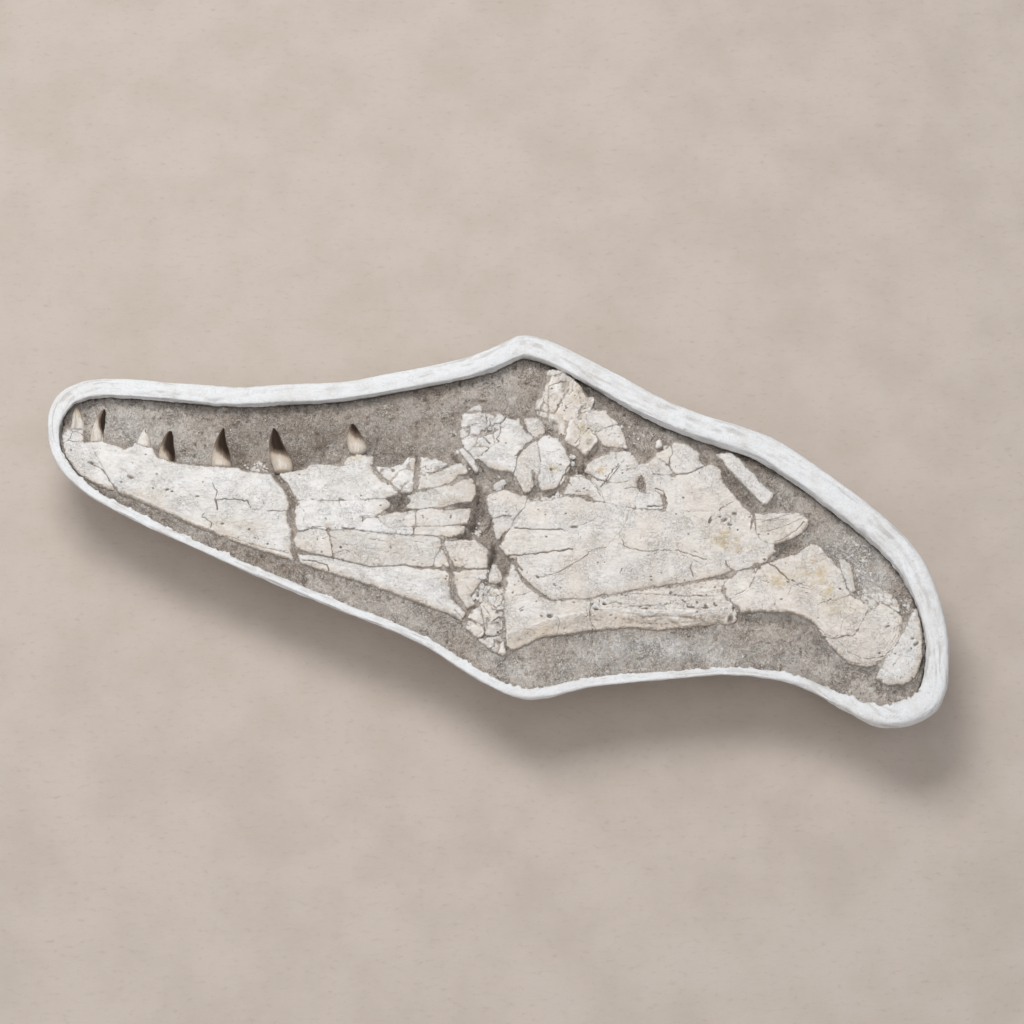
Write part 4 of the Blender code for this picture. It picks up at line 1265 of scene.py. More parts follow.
# Pits and lumps in the bone: each a row of a dent's fields
DENTS = tuple(Dent(*row) for row in (
    (308, 10, 3, 2.4, 1.2, 0, 0.6), (297, 13, 2.6, 2, 1, 0, 0.5), (324, 28, 3, 2.4, 1.2, 0, 0.6),
    (353, -17, 3, 2.2), (417, -87, 3, 2.4), (404, -111, 2.6, 2, 1, 0, 0.6), (340, -31, 4, 3, 1.2, 0, 0.6),
    (369, -61, 5, 3, 1.2, 0, 0.5), (375, -59, 4, 3, 1.2, 0, 0.5), (380, -65, 4, 3, 1.2, 0, 0.5),
    (497, -158, 3, 2.4), (502, -160, 2.6, 2, 1, 0, 0.6), (326, 20, 24, 3, 1.6, 80, 0.45),
    (294, 24, 10, 10, -0.8, 0, 0), (519, -138, 5, 4, 1.2, 0, 0.6), (521, -146, 4, 5, 1.2, 0, 0.6),
    (517, -151, 4, 3, 1, 0, 0.5), (498, -118, 8, 6, -1.2, 0, 0), (495, -107, 6, 6, -1, 0, 0),
    (501, -130, 6, 5, -1, 0, 0), (83.7, 186, 3, 2.6, 1.4, 0, 0.9), (88.8, 187.5, 2.6, 2.2, 1.3, 0, 0.9),
    (93.9, 183.2, 2.4, 2, 1.2, 0, 0.8), (92.8, 213.3, 12, 24, 1.5, -12, 0.42),
    (86.5, 219, 12, 6, 0.4, 10, 0.3), (77.2, 160.4, 9, 7, 0.9, 0, 0.45), (72, 143.3, 3, 2.6, 1.6, 0, 0.95),
    (80.9, 143.3, 3, 2.6, 1.5, 0, 0.9), (87.3, 144.8, 3, 3, 1.6, 0, 0.95),
    (69.5, 141.9, 2.4, 2.4, 1.2, 0, 0.8), (68, 221, 20, 9, 1.3, 60, 0.22), (80, 152, 12, 20, 1.4, 10, 0.35),
    (77.3, 168.9, 14, 9, -0.9, 0, 0), (72.1, 151.8, 5, 4, -1, 0, 0), (105.5, 197.5, 3, 2, 1, 0, 0.5),
    (118.1, 180.3, 2.6, 2, 1), (91.3, 177.5, 2.4, 2, 1, 0, 0.6), (74.3, 94, 3.4, 2.8, 1.6, 0, 0.85),
    (107, 64.6, 5, 3, 1.4, 20), (115.8, 68.8, 3, 2), (52.8, 84.1, 6, 18, 2.4, 8, 0.55),
    (-23.5, 177.5, 24, 4, 0.9, 0, 0.35), (-13.2, 167.5, 6, 8, 1, 0, 0.4),
    (-28.5, 163.2, 14, 8, -1.4, 10, 0), (-3, 168.9, 12, 6, -1.3, 0, 0), (-30.9, 132, 16, 10, -0.8, 0, 0),
    (-3, 149, 9, 14, 0.7, -40, 0.25), (-31, 149, 5, 4, 0.9, 0, 0.5), (17.4, 129.2, 3, 2.4),
    (76.2, 209, 3, 2.4, 1, 0, 0.6), (62.1, 206.1, 3.4, 26, -0.9, -6, 0), (58.2, 183.2, 10, 16, -0.8, 0, 0),
    (124.1, 133.4, 12, 9, 0.9, 30, 0.35), (129, 120.7, 7, 4, -0.8, 0, 0), (143.8, 86.9, 3, 2, 1, 0, 0.5),
    (164.2, 95.4, 2.6, 2, 0.9, 0, 0.5), (-190.4, 50.6, 5, 3.4, 1.3, 0, 0.6),
    (-225.6, 50.6, 4, 2.4, 0.9, 0, 0.4), (-189, -14.3, 3, 2.4, 1.3, 0, 0.8),
    (-126.4, -15.7, 4, 5, 0.7, 30, 0.3), (-243.1, 43.7, 3, 2.4), (-208.6, 24.3, 3, 2, 1, 30, 0.6),
    (-110.6, 21.5, 2.6, 2, 1.1), (-86.8, 27, 2.6, 2, 1.1), (-51.6, 27, 3, 2.4, 1.1),
    (-56, -54, 3, 2.6, 1.3, 0, 0.8), (-92.3, -41.7, 14, 3, 1, -4, 0.5), (-46.2, -33.5, 3, 2, 1, 0, 0.5),
    (-43.5, -59.5, 3, 2.4, 1, 0, 0.4), (-243, 86.9, 3, 2.4, 1, 0, 0.5), (-125.5, 94, 6, 5, 1, 0, 0.35),
    (7.7, -128.4, 3.4, 3, 1.8, 0, 0.95), (16.4, -140.4, 4, 8, 2, -10, 0.9),
    (8.9, -139.1, 9, 9, 1.6, 0, 0.4), (10.1, -66.3, 7, 10, 1.6, 10, 0.35), (6.4, -101.5, 5, 3, 0.8, 0, 0.4),
    (-4.7, -110.9, 6, 8, 0.8, 0, 0.25), (-19.7, -100.1, 8, 12, -0.8, 20, 0),
    (1.4, -81.2, 16, 16, -0.7, 0, 0), (-27.3, -63.5, 12, 12, -0.5, 0, 0),
    (222.7, -75.8, 4, 4.6, 1.6, 0, 0.8), (237.4, -86.6, 5, 3, 1.6, -40, 0.8),
    (243.4, -93.4, 4, 4, 1.4, 0, 0.65), (254.7, -89.3, 4, 4, 1.3, 0, 0.55),
    (265.8, -93.4, 4, 6, 1.5, 0, 0.6), (275.8, -90.7, 3, 3.4, 1.6, 0, 0.85),
    (139.2, -90.7, 4.6, 4, 1.6, 0, 0.6), (161.7, -78.5, 5, 3, 1.4, 0, 0.65),
    (131.8, -88, 6, 3, 1.6, 20, 0.85), (119.4, -86.6, 4, 3, 1.4), (159.1, -90.7, 5, 3, 1.2, 0, 0.5),
    (147.7, -105.5, 4, 2, 1, 20, 0.6), (153.9, -108.2, 3, 2, 1, 20, 0.6), (183.9, -94.7, 6, 2, 1.1, 0, 0.6),
    (196.3, -93.4, 3, 2, 1, 0, 0.6), (254.4, -101.5, 3, 3, 1, 0, 0.4), (301.4, -105.5, 6, 6, -1.6, 0, 0),
    (302.7, -105.5, 3.4, 3.4, 1.4, 0, 0.5), (299.2, -96.1, 2.4, 7, 1.8, 0, 0.85),
    (290.2, -109.6, 14, 5, -0.8, 4, 0), (277.6, -67.6, 4, 3, 1, 0, 0.4), (258.7, -79.8, 7, 3, 1.2, 0, 0.55),
    (266.2, -78.5, 3, 2.4), (246.3, -75.8, 3, 2, 1, 0, 0.5), (208.6, -100.1, 90, 4, -0.5, 1, 0),
    (70.9, -106.9, 5.6, 5, 1.5, 0, 0.5), (60.9, -106.9, 4, 3, 1, 0, 0.45),
    (121.7, -104.2, 4, 5, 0.8, 0, 0.35), (116.7, -108.2, 2.6, 2, 0.9, 0, 0.6),
    (87.1, -86.6, 6, 3, 0.8, 0, 0.3), (102, -89.3, 5, 3, 0.8, 0, 0.35), (56.2, -51.3, 4, 3.4, 1.2, 0, 0.5),
    (77.3, -62.2, 3.4, 3.6, 0.9, 0, 0.45), (130.8, -62.2, 3, 2.4, 1, 0, 0.5), (-506, 102, 8, 3, 1.6, -30),
    (-456, 82, 10, 4, 1.8, -20), (-468, 76, 3, 2), (-409, 65, 5, 3.5, 1.6), (-403, 62, 4.5, 3, 1.4),
    (-533, 119, 3, 2.4), (-438, 113, 3, 2), (-423, 85, 3.4, 2.4), (-427, 67, 2.4, 2), (-371, 55, 6, 2.5),
    (-305, 11, 5, 3.4), (-297, 0, 2.6, 2.2), (-318, 1, 2.6, 2.2), (-338, 19, 5, 2.4), (-281, -8, 3, 2.4),
    (-187.6, 50, 3, 2.6), (-244, 42, 3, 2.4), (-208, 23, 3, 2.2), (-140, 42, 3, 2), (-165, 56, 2.6, 2),
    (-189, -15, 4, 2), (-213, -20, 3, 2), (-115, 20, 3, 2), (-52, 25, 3, 2), (-86, 25, 2.6, 2),
    (-45, -35, 3, 2.4), (-57, -57, 3, 2.4), (84.5, 183, 3, 2.4), (89, 184.5, 2.4, 2), (94.5, 181, 3, 2),
    (92, 177, 2.4, 2), (90, 143, 4, 3, 1.6), (70, 142.5, 3, 2.4), (72.5, 138, 2.4, 2),
    (-13, 165, 5, 3, 1.6), (-7, 168, 4, 3), (75, 92, 3.4, 2.6, 1.4), (103, 13, 10, 4, 1.8),
    (274, 22, 8, 3, 1.6, 70), (304, 33, 6, 5), (292, 24, 9, 6, 2.0, 30), (298, 17, 6, 4, 1.6),
    (286, 28, 5, 3, 1.4), (198, -53, 3, 2), (199, -57, 2.6, 2), (240, -57, 3, 2.4), (245.6, 3.4, 3, 2),
    (231, 32, 2.6, 2), (241, 56, 2.6, 2.2), (308, 9, 3, 2.4), (298, 11, 2.6, 2), (58, 38, 2.6, 2),
    (67, 30, 2.6, 2), (92, 32, 2.6, 2), (68, 0, 3, 2.2), (132, -35, 3, 2.2), (57, -53.5, 4, 3.4, 1.6),
    (79, -64, 2.6, 2), (110.5, 64, 3, 2), (119, 66.5, 2.6, 2), (165, 91, 3, 2.2), (170, 70, 3, 2.2),
    (18, 34, 3.4, 2.4, 1.4), (73, -108, 6, 5, 1.6), (62.5, -108, 3, 2.4), (37, -100, 5, 2, 1.2, 40),
    (55, -88, 2.6, 2), (26, -76, 2.6, 2.2), (33, -60, 2.6, 2), (28, -65, 2.4, 2), (222, -77, 6, 2.6, 1.4),
    (227, -79, 4, 2), (240, -88, 6, 3, 1.4), (247, -95, 8, 3, 1.6), (190, -97, 9, 2.4), (167, -80, 6, 2),
    (140, -92, 6, 3, 1.4), (264, -96, 9, 3, 1.4), (278, -93, 5, 3, 1.4), (296, -108, 9, 6, 3.2, 60),
    (334, 3, 3, 2.2), (346, 4, 2.6, 2), (355, -18, 3.4, 3, 1.4), (359, -86, 3, 2.6), (350, -93, 2.6, 2),
    (433, -69.5, 3, 2.8, 1.6), (420, -85, 3, 2), (412, -89, 2.6, 2), (444, -71, 3, 2.2),
    (478, -157, 3.4, 3, 1.4), (524, -145, 8, 4, 1.4, 50), (490, -120, 10, 5, 1.2, 40),
    (126, -92, 6, 4, 1.6), (129, -98, 7, 3, 1.6),
))
STAINS = tuple(Stain(*row) for row in (
    (107, 200, 9, 18, 0.9), (80, 170, 12, 12, 0.6), (76, 95, 9, 12), (140, 95, 9, 7, 0.9),
    (116, 148, 12, 14, 0.8), (292, -4, 24, 18, 0.9), (310, -16, 22, 8, 0.8), (357, -57, 22, 14),
    (400, -48, 22, 24, 0.9), (415, -70, 12, 14, 0.9), (-5, 150, 10, 8, 0.7), (-345, 10, 90, 22, 0.35),
    (-430, 55, 60, 16, 0.3), (-50, -50, 26, 18, 0.4), (60, -120, 30, 14, 0.35), (430, -95, 30, 18, 0.5),
    (360, 10, 26, 18, 0.3), (-175, 112, 14, 8, 0.5),
))


@dataclass(frozen=True)
class Wear:
    """How one piece of bone is worn.

    Sizes are millimetres: grain is how deep its fibres are cut, lumps how far it swells, rough how
    coarsely it is broken, edge the radius that its free edges are rounded to, tilt how far one
    end stands over the other, and laminae the depth of the layers along its lower right edge.
    fold is a line below which the bone turns down towards the rock, drop how far it turns
    down, and plates the width of the plates that the piece is shattered into, if it is.
    """

    turn: float = -8.0
    grain: float = 0.08
    lumps: float = 0.55
    rough: float = 0.07
    edge: float = 5.0
    finish: str = "fossil_bone"
    tilt: float = 0.5
    laminae: float = 0.0
    fold: tuple[tuple[float, float], ...] = ()
    plates: float = 0.0
    drop: float = 1.8


WEARS = {
    "dentary_tip": Wear(-35.0, 0.05, 0.5, 0.04, 8.0, "white_bone", 0.2,
                        fold=((-545, 112), (-524, 88), (-500, 74))),
    "dentary_front": Wear(-16.0, 0.06, 0.6, 0.04, 9.0, "white_bone", 0.2,
                          fold=((-530, 92), (-467, 63), (-408, 37), (-352, 10), (-303, -14), (-250, -27))),
    "dentary_rear_upper": Wear(-8.0, 0.07, 0.6, 0.06, 4.0, "white_bone"),
    "dentary_rear_socket": Wear(-8.0, 0.07, 0.7, 0.06, 4.5, "white_bone"),
    "dentary_rear_middle": Wear(-4.0, 0.13, 0.5, 0.06, 3.0, "white_bone"),
    "dentary_corner": Wear(30.0, 0.08, 0.8, 0.12, 4.0, "white_bone", 0.9, plates=15.0),
    "dentary_crest_chip": Wear(0.0, 0.08, 0.9, 0.14, 4.0, "white_bone", 0.9, plates=10.0),
    "dentary_crest_block": Wear(12.0, 0.12, 0.9, 0.14, 4.0, "grey_bone", 0.9),
    "splenial_middle": Wear(-6.0, 0.20, 0.5, 0.07, 3.0, "grey_bone"),
    "splenial_lower": Wear(-18.0, 0.07, 0.5, 0.04, 8.0, "white_bone", 0.2,
                           fold=((-240, -36), (-160, -64), (-80, -102))),
    "splenial_bar": Wear(12.0, 0.13, 0.6, 0.07, 4.0, "grey_bone"),
    "coronoid_lump": Wear(40.0, 0.08, 2.6, 0.12, 6.0, "white_bone", plates=16.0),
    "prearticular_high_plate": Wear(60.0, 0.06, 0.8, 0.07, 5.0, "white_bone"),
    "prearticular_broad_plate": Wear(70.0, 0.08, 0.8, 0.08, 5.0, "white_bone"),
    "coronoid_process": Wear(70.0, 0.11, 1.6, 0.07, 4.0, "warm_bone", plates=21.0),
    "surangular_main": Wear(-3.0, 0.06, 0.7, 0.05, 7.0),
    "surangular_fan": Wear(28.0, 0.34, 0.6, 0.12, 5.0),
    "angular_plate": Wear(-60.0, 0.07, 0.6, 0.09, 7.0, fold=((5, -138), (23, -130), (50, -121), (78, -111),
                                                            (114, -104), (134, -106)), drop=2.8),
    "angular_fibrous_strip": Wear(-3.0, 0.34, 0.8, 0.24, 5.0, "warm_bone", 0.2,
                                  fold=((99, -100), (134, -98), (165, -101), (216, -104), (267, -102),
                                        (300, -96)), drop=3.6),
    "articular_main": Wear(-25.0, 0.08, 0.9, 0.13, 8.0, "warm_bone"),
    "articular_front_plate": Wear(-40.0, 0.07, 0.6, 0.08, 6.0, "warm_bone"),
    "retroarticular_end": Wear(-50.0, 0.08, 0.8, 0.14, 6.0, "warm_bone", 0.5, 0.42),
    "retroarticular_crumbled_edge": Wear(-30.0, 0.16, 1.6, 0.34, 4.0, "grey_bone", plates=6.0),
    "slender_bone": Wear(-52.0, 0.10, 0.5, 0.05, 7.0, "white_bone"),
    "rib_sliver": Wear(-75.0, 0.20, 0.5, 0.12, 4.0, "grey_bone"),
    "loose_plate": Wear(62.0, 0.10, 0.6, 0.12, 5.0, "white_bone"),
    "white_knob": Wear(0.0, 0.05, 0.6, 0.06, 4.0, "white_bone"),
    "surangular_white_chip": Wear(0.0, 0.05, 0.4, 0.04, 2.4, "white_bone"),
    "channel_splinter": Wear(-52.0, 0.20, 0.5, 0.12, 3.0, "white_bone"),
}
CRUSHED = Wear(62.0, 0.06, 1.2, 0.07, 3.5, "fossil_bone", 1.4, plates=16.0)


def wear_of(node: str) -> Wear:
    """How the bone of a node is worn: its own wear, or the crushed or the common one."""
    return WEARS.get(node, CRUSHED if node.startswith("crushed") else Wear())


@dataclass
class Site:
    """Where bone lies in the jacket: a map of its cover and height for the rock and the edges."""

    pocket: Array
    ground: Field = field(init=False)
    cover: Array = field(init=False)
    tops: Array = field(init=False)
    near: Array = field(init=False)

    def __post_init__(self) -> None:
        """Lay out an empty map over the pocket of the jacket."""
        self.ground = Field.around(self.pocket, 4.0, ROCK_STEP)
        self.cover = np.zeros(self.ground.shape, dtype=bool)
        self.tops = np.zeros(self.ground.shape)
        self.near = np.full(self.ground.shape, 40.0)

    def add(self, outline: Array, crown: Field, height: Array) -> None:
        """Note one piece of bone on the map.

        Args:
            outline: the piece's outline.
            crown: the coarse grid that its height is known on.
            height: the height of its top there.
        """
        inside = self.ground.inside(outline)
        places = self.ground.places()[inside.ravel()]
        self.tops[inside] = crown.read(height, places)
        self.cover |= inside
        distance, _ = self.ground.stamp(even_walk(outline, 1.2), 24.0)
        self.near = np.minimum(self.near, distance)

    def share(self, sigma: float) -> Array:
        """How much of each place's surroundings is bone."""
        return blurred(self.cover.astype(float), sigma / self.ground.step)

    def mean_top(self, sigma: float) -> Array:
        """The height of the bone round each place."""
        return filled_in(self.tops, self.cover, sigma / self.ground.step)


@dataclass
class BonePiece:
    """One piece of bone: a relief on the solid's own outline, raised to the solid's crown."""

    node: str
    wear: Wear
    seed: int
    teeth: tuple["Tooth", ...] = ()
    outline: Array = field(init=False)
    normals: Array = field(init=False)
    joint: Array = field(init=False)
    crown: Field = field(init=False)
    crown_height: Array = field(init=False)

    def __post_init__(self) -> None:
        """Read the solid's outline and the height of its top."""
        solid = Solid(self.node)
        plain = even_walk(solid.loops_at(BONE_SEAT)[0], 0.7)
        self.outline = even_walk(softened(plain, 4), 0.6)
        self.normals = loop_normals(self.outline)
        self.joint = np.zeros(len(self.outline))
        self.crown = Field.around(plain, 8.0, CROWN_STEP)
        places = self.crown.places()
        tree = solid.tree()
        heights = np.zeros(len(places))
        known = np.zeros(len(places), dtype=bool)
        down = Vector((0.0, 0.0, -1.0))
        for k, (x, y) in enumerate(places.tolist()):
            hit = tree.ray_cast(Vector((x, y, RAY_START)), down)[0]
            if hit is not None:
                heights[k] = hit.z
                known[k] = True
        for tooth in self.teeth:
            known &= ~tooth.covers(places)
        shape = self.crown.shape
        known = known.reshape(shape) & self.crown.inside(plain)
        if not known.any():
            known = self.crown.inside(plain)
            heights[:] = BONE_SEAT + 7.0
        self.crown_height = filled_in(heights.reshape(shape), known, 1.6)

    def break_edges(self, site: "Site") -> None:
        """Tell joints with other pieces from free edges, and roughen the outline.

        An edge point is a joint if the map shows bone three millimetres beyond it. A joint is
        drawn a little outwards, so its gap is a hair's width, and a free edge a little inwards.

        Args:
            site: the map of all the bone.
        """
        beyond = self.outline + 3.2 * self.normals
        joint = smoothstep(0.28, 0.62, site.ground.read(site.share(1.9), beyond))
        spread = np.array([0.1, 0.2, 0.4, 0.2, 0.1])
        for _ in range(3):
            joint = sum(w * np.roll(joint, k - 2) for k, w in enumerate(spread))
        ragged = (0.38 * lattice_noise(self.outline, 2.6, self.seed)
                  + 0.55 * lattice_noise(self.outline, 8.0, self.seed + 1)
                  + 0.9 * np.minimum(0.0, lattice_noise(self.outline, 5.0, self.seed + 15) + 0.45))
        shift = ragged * (1.0 - 0.45 * joint) - 0.15 + 1.05 * joint
        self.outline = self.outline + self.normals * shift[:, None]
        self.joint = joint

    def hollows(self, ground: Field, places: Array) -> tuple[Array, Array]:
        """Cracks and pits at the places.

        Args:
            ground: the piece's grid.
            places: its nodes.

        Returns:
            How far the surface drops at each node and how dark it is there. A crack drops by
            depth times exp(-(distance / width) squared), a pit by the same of the distance
            measured in its own half length and half width.
        """
        drop = np.zeros(ground.shape)
        dark = np.zeros(ground.shape)
        low = self.outline.min(axis=0) - 2.0
        high = self.outline.max(axis=0) + 2.0
        uneven = 1.0 + 0.55 * lattice_noise(places, 6.0, self.seed + 11).reshape(ground.shape)
        for crack in CRACKS:
            route = np.array(crack.route)
            if (route.max(axis=0) < low).any() or (route.min(axis=0) > high).any():
                continue
            samples = even_walk(route, 0.4, closed=False)
            samples = samples + 0.9 * np.column_stack([lattice_noise(samples, 4.0, 91),
                                                       lattice_noise(samples, 4.0, 92)])
            near, _ = ground.stamp(samples, 5.0)
            groove = np.exp(-(near / (0.85 * crack.width * uneven)) ** 2)
            lip = np.exp(-((near - 2.1 * crack.width) / (0.9 * crack.width)) ** 2) * (near < 4.9)
            drop = np.maximum(drop, crack.depth * groove) - 0.14 * crack.depth * lip
            dark = np.maximum(dark, crack.dark * np.exp(-(near / (0.65 * crack.width * uneven)) ** 2))
        warped = warp(places, 0.6, 3.0, self.seed + 5)
        for dent in DENTS:
            if not (low[0] < dent.x < high[0] and low[1] < dent.y < high[1]):
                continue
            away = dent.away(warped).reshape(ground.shape)
            drop += dent.depth * (np.exp(-away ** 3) - 0.18 * np.exp(-((away - 1.6) / 0.45) ** 2))
            dark = np.maximum(dark, dent.dark * np.exp(-(away * 1.25) ** 3))
        return drop, dark

    def weathering(self, places: Array) -> tuple[Array, Array]:
        """The bone's own texture at the places.

        Fibres along the grain, brushed dabs in changing directions, coarse breakage, hairline
        splits where a long noise crosses zero, flaked patches, and pores where a fine noise peaks.

        Args:
            places: the nodes.

        Returns:
            How far the surface rises at each place and how dark it is there.
        """
        wear, seed = self.wear, self.seed
        bent = warp(places, 4.0, 24.0, seed + 3)
        fibre = streaks(bent, wear.turn, 22.0, 1.9, seed + 4)
        fibre += 0.7 * streaks(bent, wear.turn, 11.0, 1.2, seed + 6)
        patch = smoothstep(-0.45, 0.5, cloud(places, 46.0, seed + 7, 2))
        coarse = cloud(places, 5.0, seed + 8, 3, 0.65)
        rise = wear.grain * (0.35 + 0.95 * patch) * fibre + 2.2 * wear.rough * coarse
        for k, turn in enumerate((15.0, 75.0, 130.0)):
            where = smoothstep(-0.1, 0.5, lattice_noise(places, 17.0, seed + 30 + k))
            rise += 0.24 * where * streaks(bent, turn + wear.turn, 9.0, 2.3, seed + 40 + k)
        rise += 0.05 * lattice_noise(places, 1.7, seed + 9)
        rise += wear.lumps * cloud(places, 30.0, seed + 2, 4, 0.55)
        split = streaks(warp(places, 2.0, 8.0, seed + 17), wear.turn, 90.0, 17.0, seed + 18)
        split = np.exp(-(split / 0.028) ** 2) * smoothstep(0.0, 0.4, lattice_noise(places, 26.0, seed + 19))
        pores = smoothstep(0.80, 0.98, lattice_noise(places, 1.9, seed + 21))
        pores *= smoothstep(0.0, 0.6, lattice_noise(places, 11.0, seed + 22))
        flakes = streaks(warp(places, 3.0, 7.0, seed + 25), wear.turn, 24.0, 8.0, seed + 23)
        flaked = smoothstep(0.02, 0.10, flakes)
        flaked *= smoothstep(0.15, 0.35, cloud(places, 21.0, seed + 24, 3))
        rise -= 0.16 * split + 0.6 * pores + 0.17 * flaked
        dark = 0.07 * split + 0.7 * pores
        if wear.plates:
            tilted, apart = shards(warp(places, 1.3, 5.0, seed + 51), wear.plates, wear.turn, seed + 53)
            gap = np.exp(-(apart / 0.9) ** 2) * smoothstep(-0.1, 0.7, lattice_noise(places, 12.0, seed + 60))
            rise += 0.17 * wear.plates * tilted - 0.7 * gap
            dark += 0.30 * gap
        return rise, dark

    def turned_down(self, places: Array) -> tuple[Array, Array]:
        """How far the bone falls below its fold line at the places, and how far past the fold each is,
        which sets its painted shade.

        Args:
            places: rows of x, y.

        Returns:
            The fall and, for the painted shade, the share past the fold at each place.
        """
        if not self.wear.fold:
            return np.zeros(len(places)), np.zeros(len(places))
        line = np.array(self.wear.fold)
        below = np.interp(places[:, 0], line[:, 0], line[:, 1]) - places[:, 1]
        below += 1.3 * cloud(places, 12.0, self.seed + 25, 2)
        fall = self.wear.drop * smoothstep(-1.0, 13.0, below) - 0.5 * np.exp(-((below + 2.0) / 2.2) ** 2)
        return fall, smoothstep(-6.0, 6.0, below)

    def build(self, finish: bpy.types.Material) -> bpy.types.Object:
        """Work out the piece's surface and make its mesh.

        The height is the solid's crown, plus weathering, less cracks and pits, rounded off
        towards the outline by a quarter ellipse that is wide and tall at free edges and small
        at joints.

        Args:
            finish: the piece's material.

        Returns:
            The finished object.
        """
        wear, seed = self.wear, self.seed
        ground = Field.around(self.outline, 2.0, BONE_STEP)
        shape = ground.shape
        places = ground.places()
        inside = ground.inside(self.outline)
        near, nearest = ground.stamp(self.outline, 15.0)
        touched = np.maximum(nearest, 0)
        joint = np.where(nearest >= 0, self.joint[touched], 0.0)
        height = self.crown.read(self.crown_height, places)
        middle = self.outline.mean(axis=0)
        lean = np.random.default_rng(seed).uniform(-1.0, 1.0, 3)
        reach = np.ptp(self.outline, axis=0).max()
        height += wear.tilt * ((places - middle) @ lean[:2] / reach + 0.4 * lean[2])
        height = height.reshape(shape)
        texture, worn = self.weathering(places)
        drop, dark = self.hollows(ground, places)
        fall, folded = (table.reshape(shape) for table in self.turned_down(places))
        uneven = 1.0 + 0.3 * lattice_noise(places, 7.0, seed + 10).reshape(shape)
        round_off = 0.9 + 0.40 * wear.edge
        radius = (round_off + (0.9 - round_off) * joint) * uneven
        depth = np.clip(0.55 * (height - fall - ROCK_LEVEL - 1.0), 0.7, round_off)
        depth = depth + (0.6 - depth) * joint
        short = np.clip(1.0 - near / radius, 0.0, 1.0)
        rounding = depth * (1.0 - np.sqrt(1.0 - short ** 2))
        chips = smoothstep(0.15, 0.7, cloud(places, 6.0, seed + 12, 2)).reshape(shape)
        rounding += 1.1 * chips * smoothstep(3.6, 0.6, near) * (1.0 - 0.4 * joint)
        facing = (self.normals[touched] @ np.array((0.6, -0.8))).reshape(shape)
        layers = np.sin(near * math.tau / 3.3 + 1.2 * lattice_noise(places, 14.0, seed + 16).reshape(shape))
        laminae = wear.laminae * layers * smoothstep(15.0, 5.0, near) * smoothstep(0.1, 0.6, facing)
        total = height + texture.reshape(shape) + laminae - drop - fall - rounding
        soft = filled_in(np.where(inside, total, 0.0), inside, 3.2 / BONE_STEP)
        relief = np.where(inside, total - soft, 0.0)
        grid = ClippedGrid(ground, self.outline, near, nearest, inside)
        top = np.column_stack([grid.places, grid.pick(total)])
        rim = grid.rim
        outward = self.normals[grid.pick(touched)[rim]]
        edge = top[rim]
        points = [top]
        for level, (sink, out) in enumerate(((0.30, 0.15), (0.62, 0.2), (1.0, -0.3))):
            wobble = out + 0.35 * lattice_noise(edge[:, :2] + 40.0 * level, 2.4, seed + 13)
            lower = edge.copy()
            lower[:, :2] += outward * wobble[:, None] * (level < 2)
            lower[:, 2] = edge[:, 2] + (ROCK_LEVEL - 3.0 - edge[:, 2]) * sink
            points.append(lower)
        quads, caps = grid.faces(3)
        ochre = np.zeros(len(places))
        for stain in STAINS:
            away = np.hypot((places[:, 0] - stain.x) / stain.along, (places[:, 1] - stain.y) / stain.across)
            ochre = np.maximum(ochre, stain.strength * smoothstep(1.25, 0.35, away))
        # painted shade: the folded-down part and the free border, most where the edge faces the lower right,
        # away from the light
        lower_side = smoothstep(-0.2, 0.7, facing)
        border = smoothstep(12.0, 1.0, near) * (1.0 - joint)
        flank = np.maximum(0.75 * folded, border * (0.2 + 0.7 * lower_side))
        edge_mark = (0.15 + 0.30 * joint) * smoothstep(1.3, 0.2, near)
        edge_mark = edge_mark + 0.25 * chips * smoothstep(3.0, 0.5, near)
        # the wall rings below the border take painted shade (0.7), a slightly low relief and some edge brown
        tables = {
            Mark.CRACK: (np.clip(dark + worn.reshape(shape), 0, 1), 0.10),
            Mark.RELIEF: (0.5 + 0.42 * np.clip(relief, -1.15, 1.15), 0.44),
            Mark.OCHRE: (ochre.reshape(shape), 0.0),
            Mark.EDGE: (np.clip(edge_mark, 0, 1), 0.30),
            Mark.FLANK: (np.clip(flank, 0, 1), 0.7),
        }
        marks = {mark: np.concatenate([grid.pick(table), np.full(3 * len(rim), wall)])
                 for mark, (table, wall) in tables.items()}
        piece = fill_mesh(self.node + "_bone", np.vstack(points), quads, caps, marks)
        piece.data.materials.append(finish)
        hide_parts(self.node)
        return piece


